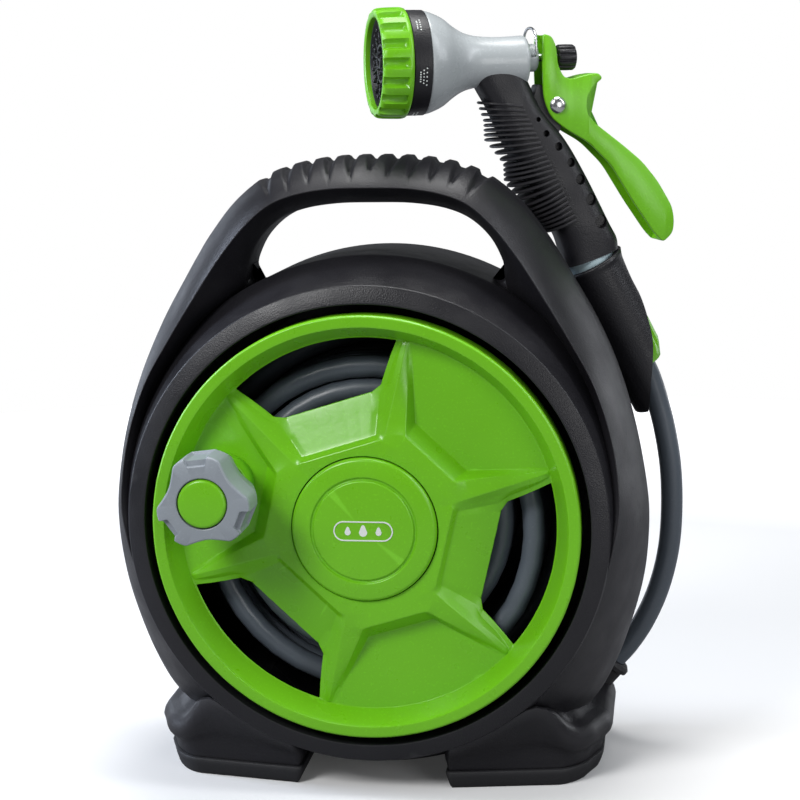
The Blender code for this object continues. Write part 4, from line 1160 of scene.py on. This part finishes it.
# forward tips of the grip's fins and the line where the fins end, both as
# (back, up) in the gun's frame, from the barrel down to the collar
FIN_TIPS = [(-0.0575, 0.0798), (-0.0538, 0.0692), (-0.0537, 0.0607), (-0.0441, 0.0487),
            (-0.0438, 0.0402), (-0.0356, 0.0281), (-0.0292, 0.0212), (-0.0250, 0.0148)]
FIN_LINE = [(-0.0389, 0.0782), (-0.0120, 0.0216)]
FIN_COUNT = 26
DIMPLES = [(-0.0299, 0.0701, 0.0012), (-0.0262, 0.0634, 0.0016), (-0.0201, 0.0571, 0.0020),
           (-0.0139, 0.0494, 0.0022), (-0.0092, 0.0412, 0.0026), (-0.0039, 0.0315, 0.0030),
           (0.0010, 0.0208, 0.0034)]
DIMPLE_DEPTH = 0.0042
GRIP_PINCH = 3.2                 # power of the handle's super-elliptic section
# handle's front and back edge as (back, up) pairs at the same heights
GRIP_EDGES = [((-0.0628, 0.0945), (-0.0388, 0.0980)), ((-0.0571, 0.0840), (-0.0326, 0.0870)),
              ((-0.0524, 0.0760), (-0.0264, 0.0740)), ((-0.0449, 0.0600), (-0.0149, 0.0600)),
              ((-0.0358, 0.0430), (-0.0043, 0.0420)), ((-0.0247, 0.0230), (0.0069, 0.0200)),
              ((-0.0183, 0.0130), (0.0109, 0.0125)), ((-0.0143, -0.0017), (0.0117, 0.0073))]
HANDLE_HALF = [0.0098, 0.0104, 0.0112, 0.0122, 0.0128, 0.0132, 0.0130, 0.0124]


def build_barrel():
    body = turned("gun_barrel", [
        (0, DIAL_BACK + 0.0040), (0.0232, DIAL_BACK + 0.0040, 0.0), (0.0232, DIAL_BACK - 0.0080, 0.0),
        (0.0243, DIAL_BACK - 0.0092, 0.0006), (0.0236, DIAL_BACK - 0.0120, 0.0020),
        (0.0212, DIAL_BACK - 0.0178, 0.0040), (0.0168, DIAL_BACK - 0.0232, 0.0050),
        (0.0136, DIAL_BACK - 0.0285, 0.0050), (0.0120, DIAL_BACK - 0.0350, 0.0060),
        (0.0114, DIAL_BACK - 0.0450, 0.0050), (BARREL_R, BARREL_BACK + 0.0008, 0.0024),
        (0.0075, BARREL_BACK, 0.0010), (0, BARREL_BACK)], 96, 0.0005, closed=False)
    piece("gun_barrel", body, NOZZLE, LIGHT_GREY, "gun", ["gun_body"])


def build_dial():
    count = DIAL_GROOVES * DIAL_STEPS
    profile = [(0.0238, DIAL_BACK + 0.0004, 0), (0.0250, DIAL_BACK, 0), (0.0256, DIAL_BACK + 0.0004, 0),
               (0.0259, DIAL_BACK + 0.0014, 0), (0.0260, DIAL_BACK + 0.0022, 0.1),
               (0.0260, DIAL_BACK + 0.0030, 0.75), (0.0260, DIAL_BACK + 0.0042, 1),
               (0.0259, DIAL_BACK + 0.0080, 1), (0.0258, FACE - 0.0040, 1),
               (0.0256, FACE - 0.0022, 1), (0.0252, FACE - 0.0010, 0.8), (0.0245, FACE - 0.0002, 0.25),
               (0.0236, FACE, 0), (0.0222, FACE - 0.0001, 0), (0.0215, FACE - 0.0006, 0),
               (0.0213, FACE - 0.0020, 0), (0.0213, FACE - 0.0060, 0)]
    rings = ribbed_rings(profile, count, 0.0024, lambda k: smooth_step(
        0.62 - abs((k / DIAL_STEPS) % 1.0 - 0.5) * 2, 0.0, 0.30))
    rings.append(rings[0])
    mesh = lofted(rings, "dial", 40, ends=False)
    piece("dial_ring_visual", mesh, NOZZLE, GREEN, "dial", ["dial_ring"])

    # spray face: a shallow dish with ribs, holes' collars and a middle nozzle
    dish = turned("face", [
        (0, FACE - 0.0050), (0.0075, FACE - 0.0050, 0.0003), (0.0080, FACE - 0.0034, 0.0003),
        (0.0092, FACE - 0.0034, 0.0003), (0.0097, FACE - 0.0052, 0.0003),
        (0.0192, FACE - 0.0048, 0.0004), (0.0204, FACE - 0.0026, 0.0006),
        (0.0212, FACE - 0.0028, 0.0003), (0.0212, DIAL_BACK + 0.0060), (0, DIAL_BACK + 0.0060)],
        96, 0.0003, closed=False)
    parts = [dish]
    for ring_r, number, size in ((0.0, 1, 0.0026), (0.0050, 6, 0.0008), (0.0126, 12, 0.0012),
                                 (0.0165, 18, 0.0010)):
        for k in range(number):
            angle = math.tau * k / number
            nozzle = turned("jet", [
                (0, FACE - 0.0042), (size * 0.5, FACE - 0.0042, 0.0), (size * 0.6, FACE - 0.0026, 0.0),
                (size, FACE - 0.0028, 0.0001), (size * 1.15, FACE - 0.0058, 0.0), (0, FACE - 0.0058)],
                16, 0.0001, closed=False)
            nozzle.transform(Matrix.Translation(polar(ring_r, angle)))
            parts.append(nozzle)
    for k in range(12):
        angle = math.tau * (k + 0.5) / 12
        rib = [(0.0098, -0.0004), (0.0196, -0.0004), (0.0196, 0.0004), (0.0098, 0.0004)]
        mesh = lofted([[(x, y, FACE - h) for x, y in rib] for h in (0.0056, 0.0036)], "rib")
        mesh.transform(Matrix.Rotation(angle, 4, "Z"))
        parts.append(mesh)
    piece("spray_face_visual", merged("spray_face", parts), NOZZLE, BLACK, "dial", ["spray_face"])

    band = turned("band", [
        (0.0239, DIAL_BACK - 0.0003), (0.0247, DIAL_BACK - 0.0004, 0.0003),
        (0.0246, DIAL_BACK - 0.0088, 0.0003), (0.0239, DIAL_BACK - 0.0090)], 96, 0.0002)
    piece("dial_band_visual", band, NOZZLE, BLACK, "dial", ["dial_band"])

    # generic spray signs round the band: six fans of small dots, each of two or three rows
    bm = bmesh.new()
    for sign in range(6):
        around = math.radians(60 * sign + 15)
        for k in range(5):
            lean = (k - 2) * 0.0011
            for row in range(2 if sign % 2 else 3):
                mid = DIAL_BACK - 0.0030 - row * 0.0015
                size = 0.00035
                wide = around + lean * (1 + 0.4 * row) / 0.0247
                ring = []
                for r in (0.0245, 0.02485):
                    ring.append([(r * math.cos(wide + size * math.cos(a) / r),
                                  r * math.sin(wide + size * math.cos(a) / r),
                                  mid + size * math.sin(a))
                                 for a in (math.tau * s / 10 for s in range(10))])
                loft(bm, ring)
    piece("dial_signs", finished_mesh(bm, "dial_signs"), NOZZLE, MARKING, "dial", ())


def grip_ring(front, back, half, steps=36):
    """Super-elliptic section between the front and back edge points."""
    mid = ((front[0] + back[0]) / 2, (front[1] + back[1]) / 2)
    reach = ((back[0] - front[0]) / 2, (back[1] - front[1]) / 2)
    ring = []
    for k in range(steps):
        a = math.tau * k / steps
        c = math.copysign(abs(math.cos(a)) ** (2 / GRIP_PINCH), math.cos(a))
        s = math.copysign(abs(math.sin(a)) ** (2 / GRIP_PINCH), math.sin(a))
        ring.append((mid[0] + reach[0] * c, half * s, mid[1] + reach[1] * c))
    return ring


def along_line(points, share):
    """Point at a share of a polyline's list of points."""
    at = share * (len(points) - 1)
    i = min(int(at), len(points) - 2)
    return [a + (b - a) * (at - i) for a, b in zip(points[i], points[i + 1])]


def cheek(back, up):
    """Half width of the handle at a point of its side view."""
    for (f0, b0), (f1, b1), h0, h1 in zip(GRIP_EDGES, GRIP_EDGES[1:], HANDLE_HALF, HANDLE_HALF[1:]):
        if b1[1] <= up:
            break
    t = (b0[1] - up) / (b0[1] - b1[1])
    front_s, back_s, half = (a + (b - a) * t for a, b in zip((f0[0], b0[0], h0), (f1[0], b1[0], h1)))
    off_middle = min(abs((2 * back - front_s - back_s) / (back_s - front_s)), 0.97)
    return half * (1 - off_middle ** GRIP_PINCH) ** (1 / GRIP_PINCH)


def build_grip():
    keys = [list(front) + list(back) + [half]
            for (front, back), half in zip(GRIP_EDGES, HANDLE_HALF)]
    rings = [grip_ring(key[0:2], key[2:4], key[4]) for key in spline_points(keys, 6)]
    handle = mesh_object("handle", lofted(rings, "handle", 40), GUN)

    # round holes in both cheeks
    bm = bmesh.new()
    for back, up, r in DIMPLES:
        for side in (-1, 1):
            low, high = cheek(back, up) - DIMPLE_DEPTH, max(HANDLE_HALF) + 0.004
            hole = (Matrix.Translation((back, side * (low + high) / 2, up))
                    @ Matrix.Rotation(math.pi / 2, 4, "X"))
            bmesh.ops.create_cone(bm, cap_ends=True, segments=28, radius1=r, radius2=r,
                                  depth=high - low, matrix=hole)
    bowls = mesh_object("bowls", finished_mesh(bm, "bowls"), GUN)
    parts = [cut_away(handle, [bowls])]

    # bracket that carries the trigger's rivet
    plate = rounded([(-0.0330, 0.0640), (-0.0240, 0.0560), (-0.0150, 0.0640), (-0.0120, 0.0800),
                     (-0.0260, 0.0870)], 0.002, closed=True)
    parts.append(lofted([[(s + HEAD_S, y, t) for s, t in plate] for y in (-0.0048, 0.0048)],
                        "bracket"))

    # thin rubber fins that wrap the front of the handle
    for k in range(FIN_COUNT):
        share = (k + 0.5) / FIN_COUNT
        tip = along_line(FIN_TIPS, share)
        end = along_line(FIN_LINE, share)
        end = [end[0] + 0.0006, end[1] - 0.0006]
        out = Vector((tip[0] - end[0], tip[1] - end[1]))
        across = Vector((-out.y, out.x)).normalized()
        half_t = 0.00070
        half_w = along_line([[h] for h in HANDLE_HALF], 0.15 + 0.75 * share)[0] + 0.0014
        count = 18
        profile = []
        for m in range(count + 1):
            a = -math.pi / 2 + math.pi * m / count
            profile.append((abs(math.cos(a)) ** 0.75, math.sin(a)))
        outer = [(end[0] + out.x * c, half_w * s, end[1] + out.y * c) for c, s in profile]
        rings = []
        for lift, shrink in ((-half_t, 0.965), (-half_t * 0.5, 1.0), (half_t * 0.5, 1.0),
                             (half_t, 0.965)):
            ring = []
            for (s, n, t), (c, _) in zip(outer, profile):
                ring.append((end[0] + (s - end[0]) * shrink + across.x * lift,
                             n * (shrink if c > 0.2 else 1.0),
                             end[1] + (t - end[1]) * shrink + across.y * lift))
            rings.append(ring)
        parts.append(lofted(rings, "fin", 60))

    # dotted seam behind the fins
    for k in range(34):
        share = (k + 0.5) / 34
        at = along_line(FIN_LINE, share)
        for side in (-1, 1):
            half = along_line([[h] for h in HANDLE_HALF], 0.15 + 0.75 * share)[0]
            bm = bmesh.new()
            bmesh.ops.create_icosphere(bm, subdivisions=1, radius=0.00045, matrix=Matrix.Translation(
                (at[0] + 0.0022, side * (half * 0.985), at[1])))
            parts.append(finished_mesh(bm, "dot"))
    piece("gun_handle", merged("gun_handle", parts, 38), GUN, BLACK, "gun", ["gun_grip"])


TRIGGER_FACE = [(-0.0241, 0.1102, 0.0014), (-0.0201, 0.1092, 0.0030), (-0.0178, 0.1045, 0.004),
                (-0.0168, 0.0950, 0.004), (-0.0140, 0.0898, 0.004), (-0.0103, 0.0888, 0.003),
                (-0.0029, 0.0908, 0.004), (0.0031, 0.0915, 0.0018), (0.0054, 0.0890, 0.0016),
                (0.0011, 0.0855, 0.004), (-0.0021, 0.0809, 0.004), (-0.0025, 0.0733, 0.004),
                (0.0011, 0.0680, 0.004), (0.0151, 0.0573, 0.004), (0.0253, 0.0489, 0.004),
                (0.0334, 0.0391, 0.004), (0.0407, 0.0268, 0.004), (0.0419, 0.0200, 0.003),
                (0.0413, 0.0137, 0.003), (0.0362, 0.0092, 0.0020), (0.0316, 0.0140, 0.004),
                (0.0208, 0.0296, 0.004), (0.0096, 0.0474, 0.004), (-0.0015, 0.0584, 0.004),
                (-0.0130, 0.0650, 0.004), (-0.0205, 0.0710, 0.004), (-0.0240, 0.0800, 0.004),
                (-0.0246, 0.0967, 0.004)]
TRIGGER_HALF = 0.0085
TRIGGER_WALL = 0.0016
# opening of the channel, which faces the handle
TRIGGER_CHANNEL = [(-0.0230, 0.1130, 0.0005), (-0.0212, 0.1078, 0.002), (-0.0196, 0.1040, 0.004),
                   (-0.0186, 0.0945, 0.004), (-0.0156, 0.0888, 0.004), (-0.0120, 0.0868, 0.004),
                   (-0.0048, 0.0838, 0.004), (-0.0043, 0.0728, 0.004), (-0.0004, 0.0664, 0.004),
                   (0.0139, 0.0556, 0.004), (0.0239, 0.0473, 0.004), (0.0318, 0.0380, 0.004),
                   (0.0388, 0.0263, 0.004), (0.0398, 0.0204, 0.003), (0.0390, 0.0150, 0.002),
                   (0.0368, 0.0130, 0.0005), (0.0330, 0.0060, 0.0), (0.0200, 0.0180, 0.0),
                   (0.0040, 0.0420, 0.0), (-0.0050, 0.0500, 0.0), (-0.0200, 0.0580, 0.0),
                   (-0.0300, 0.0700, 0.0), (-0.0300, 0.1000, 0.0), (-0.0290, 0.1130, 0.0)]


def inset_outline(outline, distance):
    """A closed clockwise (x, y) outline moved inward."""
    moved = []
    for i, here in enumerate(outline):
        before, after = Vector(outline[i - 1]), Vector(outline[(i + 1) % len(outline)])
        along = (after - before).normalized()
        at = Vector(here) + Vector((along.y, -along.x)) * distance
        moved.append((at.x, at.y))
    return moved


def build_trigger():
    """A lever with softened edges, hollowed into a channel from the handle's side."""
    outline = rounded(TRIGGER_FACE, 0.002, closed=True, steps=5)
    rings = []
    for y, inset in ((-0.0085, 0.0006), (-0.0083, 0.00025), (-0.0079, 0.00005), (-0.0070, 0.0),
                     (0.0070, 0.0), (0.0079, 0.00005), (0.0083, 0.00025), (0.0085, 0.0006)):
        rings.append([(s, y, t) for s, t in inset_outline(outline, inset)])
    lever = mesh_object("lever", capped_loft(rings, "lever", 40))
    channel = rounded(TRIGGER_CHANNEL, 0.002, closed=True, steps=5)
    half = TRIGGER_HALF - TRIGGER_WALL
    tool = mesh_object("channel", capped_loft(
        [[(s, y, t) for s, t in channel] for y in (-half, half)], "channel"))
    mesh = cut_away(lever, [tool])
    mesh.shade_smooth()
    mesh.set_sharp_from_angle(angle=math.radians(38))
    piece("trigger_lever", mesh, HEAD, GREEN, "trigger", ["trigger"])

    rivet = turned("rivet", [
        (0, 0.0106), (0.0014, 0.0105, 0.0006), (0.0030, 0.0100, 0.0008), (0.0041, 0.0088, 0.0004),
        (0.0040, 0.0084, 0.0), (0.0022, 0.0084), (0.0022, -0.0084), (0.0040, -0.0084),
        (0.0041, -0.0088, 0.0004), (0.0030, -0.0100, 0.0008), (0.0014, -0.0105, 0.0006),
        (0, -0.0106)], 48, 0.0002, closed=False)
    place = HEAD @ Matrix.Translation(RIVET) @ Matrix.Rotation(math.pi / 2, 4, "X")
    piece("trigger_rivet_visual", rivet, place, STEEL, "gun", ["trigger_rivet"])


FLOW_STEPS = 8                   # points of the flow knob to each rib
NUT_STEPS = 6                    # and of the coupler nut


def build_valve():
    gland = turned("gland", [
        (0.0030, -BARREL_BACK - 0.0010), (0.0066, -BARREL_BACK - 0.0010, 0.0002),
        (0.0066, -BARREL_BACK + 0.0038, 0.0005), (0.0060, -BARREL_BACK + 0.0048, 0.0004),
        (0.0024, -BARREL_BACK + 0.0048, 0.0003), (0.0024, -BARREL_BACK + 0.0020)], 64, 0.0002)
    piece("valve_gland_visual", gland, VALVE, LIGHT_GREY, "gun", ["valve_gland"])
    # ribbed knob that sets the flow
    rings = ribbed_rings([
        (0.0022, -0.0064, 0), (0.0046, -0.0064, 0), (0.0056, -0.0068, 0.2), (0.0061, -0.0076, 1),
        (0.0062, -0.0110, 1), (0.0061, -0.0146, 1), (0.0056, -0.0154, 0.3), (0.0048, -0.0158, 0),
        (0.0022, -0.0158, 0)], 12 * FLOW_STEPS, 0.0009, lambda k: smooth_step(
            0.5 - abs((k / FLOW_STEPS) % 1 - 0.5), 0.22, 0.40))
    piece("flow_knob_visual", lofted(rings, "flow_knob", 40), VALVE, BLACK, "flow_knob",
          ["flow_knob"])
    # wire bail through the gland
    wire = spline_points([(0.0, -0.0070, 0.0), (0.0, -0.0102, 0.0006), (0.0, -0.0106, 0.0050),
                          (0.0, -0.0098, 0.0092), (0.0, -0.0060, 0.0121), (0.0, 0.0, 0.0130),
                          (0.0, 0.0060, 0.0121), (0.0, 0.0098, 0.0092), (0.0, 0.0106, 0.0050),
                          (0.0, 0.0102, 0.0006), (0.0, 0.0070, 0.0)], 6)
    mesh = tube_mesh("bail", wire, 0.00065, 14)
    piece("bail_wire", mesh, HEAD @ Matrix.Translation(BAIL_PIVOT), STEEL, "lock_bail",
          ["lock_bail"])


def build_coupling():
    coupler = turned("coupler", [
        (0.0088, 0.0052), (0.0117, 0.0052, 0.0006), (0.0121, 0.0040, 0.0004),
        (0.0121, -0.0060, 0.0006), (0.0111, -0.0100, 0.0010), (0.0111, -0.0350, 0.0003),
        (0.0062, -0.0350), (0.0062, 0.0030)], 64, 0.0003)
    piece("hose_coupler_visual", coupler, GRIP, COUPLER_BLUE, "gun", ["hose_coupler"])
    rings = ribbed_rings([
        (0.0058, -0.0353, 0), (0.0108, -0.0353, 0), (0.0118, -0.0362, 0.3), (0.0121, -0.0375, 1),
        (0.0120, -0.0490, 1), (0.0112, -0.0520, 0.4), (0.0092, -0.0572, 0), (0.0086, -0.0577, 0),
        (0.0058, -0.0577, 0)], 16 * NUT_STEPS, 0.0008,
        lambda k: 0.5 + 0.5 * math.cos(math.tau * k / NUT_STEPS))
    rings.append(rings[0])
    piece("coupler_nut_visual", lofted(rings, "nut", 40, ends=False), GRIP, GREEN, "gun",
          ["coupler_nut"])


# ---------------------------------------------------------------- holster
HOLSTER_L = 0.078
# (back, up) line at which the shell's near wall ends, from the mouth down, and how
# much further back the far wall reaches
HOLSTER_EDGE = [(0.0130, 0.0070), (0.0124, 0.0041), (0.0166, -0.0069),
                (0.0216, -0.0166), (0.0248, -0.0278), (0.0266, -0.0383), (0.0262, -0.0508),
                (0.0258, -0.0604), (0.0262, -0.0737), (0.0270, -0.0950)]
HOLSTER_FAR = 0.0016


def holster_trim(low_n, high_n, extra):
    """Block that takes away the shell's back beyond the edge line."""
    edge = [(s + extra, t) for s, t in spline_points(HOLSTER_EDGE, 6)]
    outline = [(0.060, 0.0070), *edge, (0.060, -0.0950)]
    block = capped_loft([[(s, n, t) for s, t in outline] for n in (low_n, high_n)], "trim")
    return mesh_object("trim", block, GUN)


def build_holster():
    shell = turned("holster", [
        (0.0131, 0.0), (0.0140, 0.0008, 0.0004), (0.0157, 0.0004, 0.0006), (0.0160, -0.0010, 0.0005),
        (0.0155, -0.0030, 0.0010), (0.0155, -0.0380, 0.002), (0.0150, -HOLSTER_L, 0.0008),
        (0.0134, -HOLSTER_L)], 96, 0.0004)
    body = mesh_object("shell", shell, GRIP)
    trims = [holster_trim(-0.030, 0.001, 0.0), holster_trim(0.0005, 0.030, HOLSTER_FAR)]
    shell = cut_away(body, trims)
    shell.transform(REEL.inverted() @ GRIP)
    # bridge that hangs the holster on the housing
    rings = []
    for x, y0, y1, z0, z1 in ((0.0860, 0.0950, 0.1165, 0.0600, 0.0900),
                              (0.0960, 0.0985, 0.1155, 0.0620, 0.0875),
                              (0.1050, 0.1000, 0.1150, 0.0640, 0.0850),
                              (0.1120, 0.1010, 0.1140, 0.0660, 0.0820)):
        corner = rounded([(y0, z0), (y1, z0), (y1, z1), (y0, z1)], 0.004, closed=True, steps=6)
        rings.append([(x, y, z) for y, z in corner])
    bridge = lofted(rings, "bridge")
    piece("holster_shell", merged("holster_shell", [shell, bridge], 36), REEL, BLACK, "reel",
          ["gun_holster"])


build_barrel()
build_dial()
build_grip()
build_trigger()
build_valve()
build_coupling()
build_holster()
# ---------------------------------------------------------------- parts kept from the CAD
CARRIED_PARTS = [
    (STEEL, [f"casing_screw_{k}" for k in range(1, 8)]
     + ["drum_screw_1", "drum_screw_2", "drum_screw_3", "knob_pin", "retaining_screw",
        "retaining_washer", "valve_stem"]),
    (BRASS, ["front_bush", "rear_bush", "grip_nipple"]),
    (BLACK, ["drum_core", "drum_rear_flange"]),
    (LIGHT_GREY, ["inlet_spindle", "water_journal"]),
    (GREY, ["inlet_nut"]),
    (GREEN, ["inlet_nipple"]),
    (RUBBER, ["hose_guide", "seal_ring_1", "seal_ring_2", "valve_seal"]),
]


def dress_carried_parts():
    """The CAD's own solids keep their shape and get these finishes."""
    for mat, names in CARRIED_PARTS:
        for name in names:
            for slot in frame["nodes"][name].material_slots:
                slot.material = mat


dress_carried_parts()
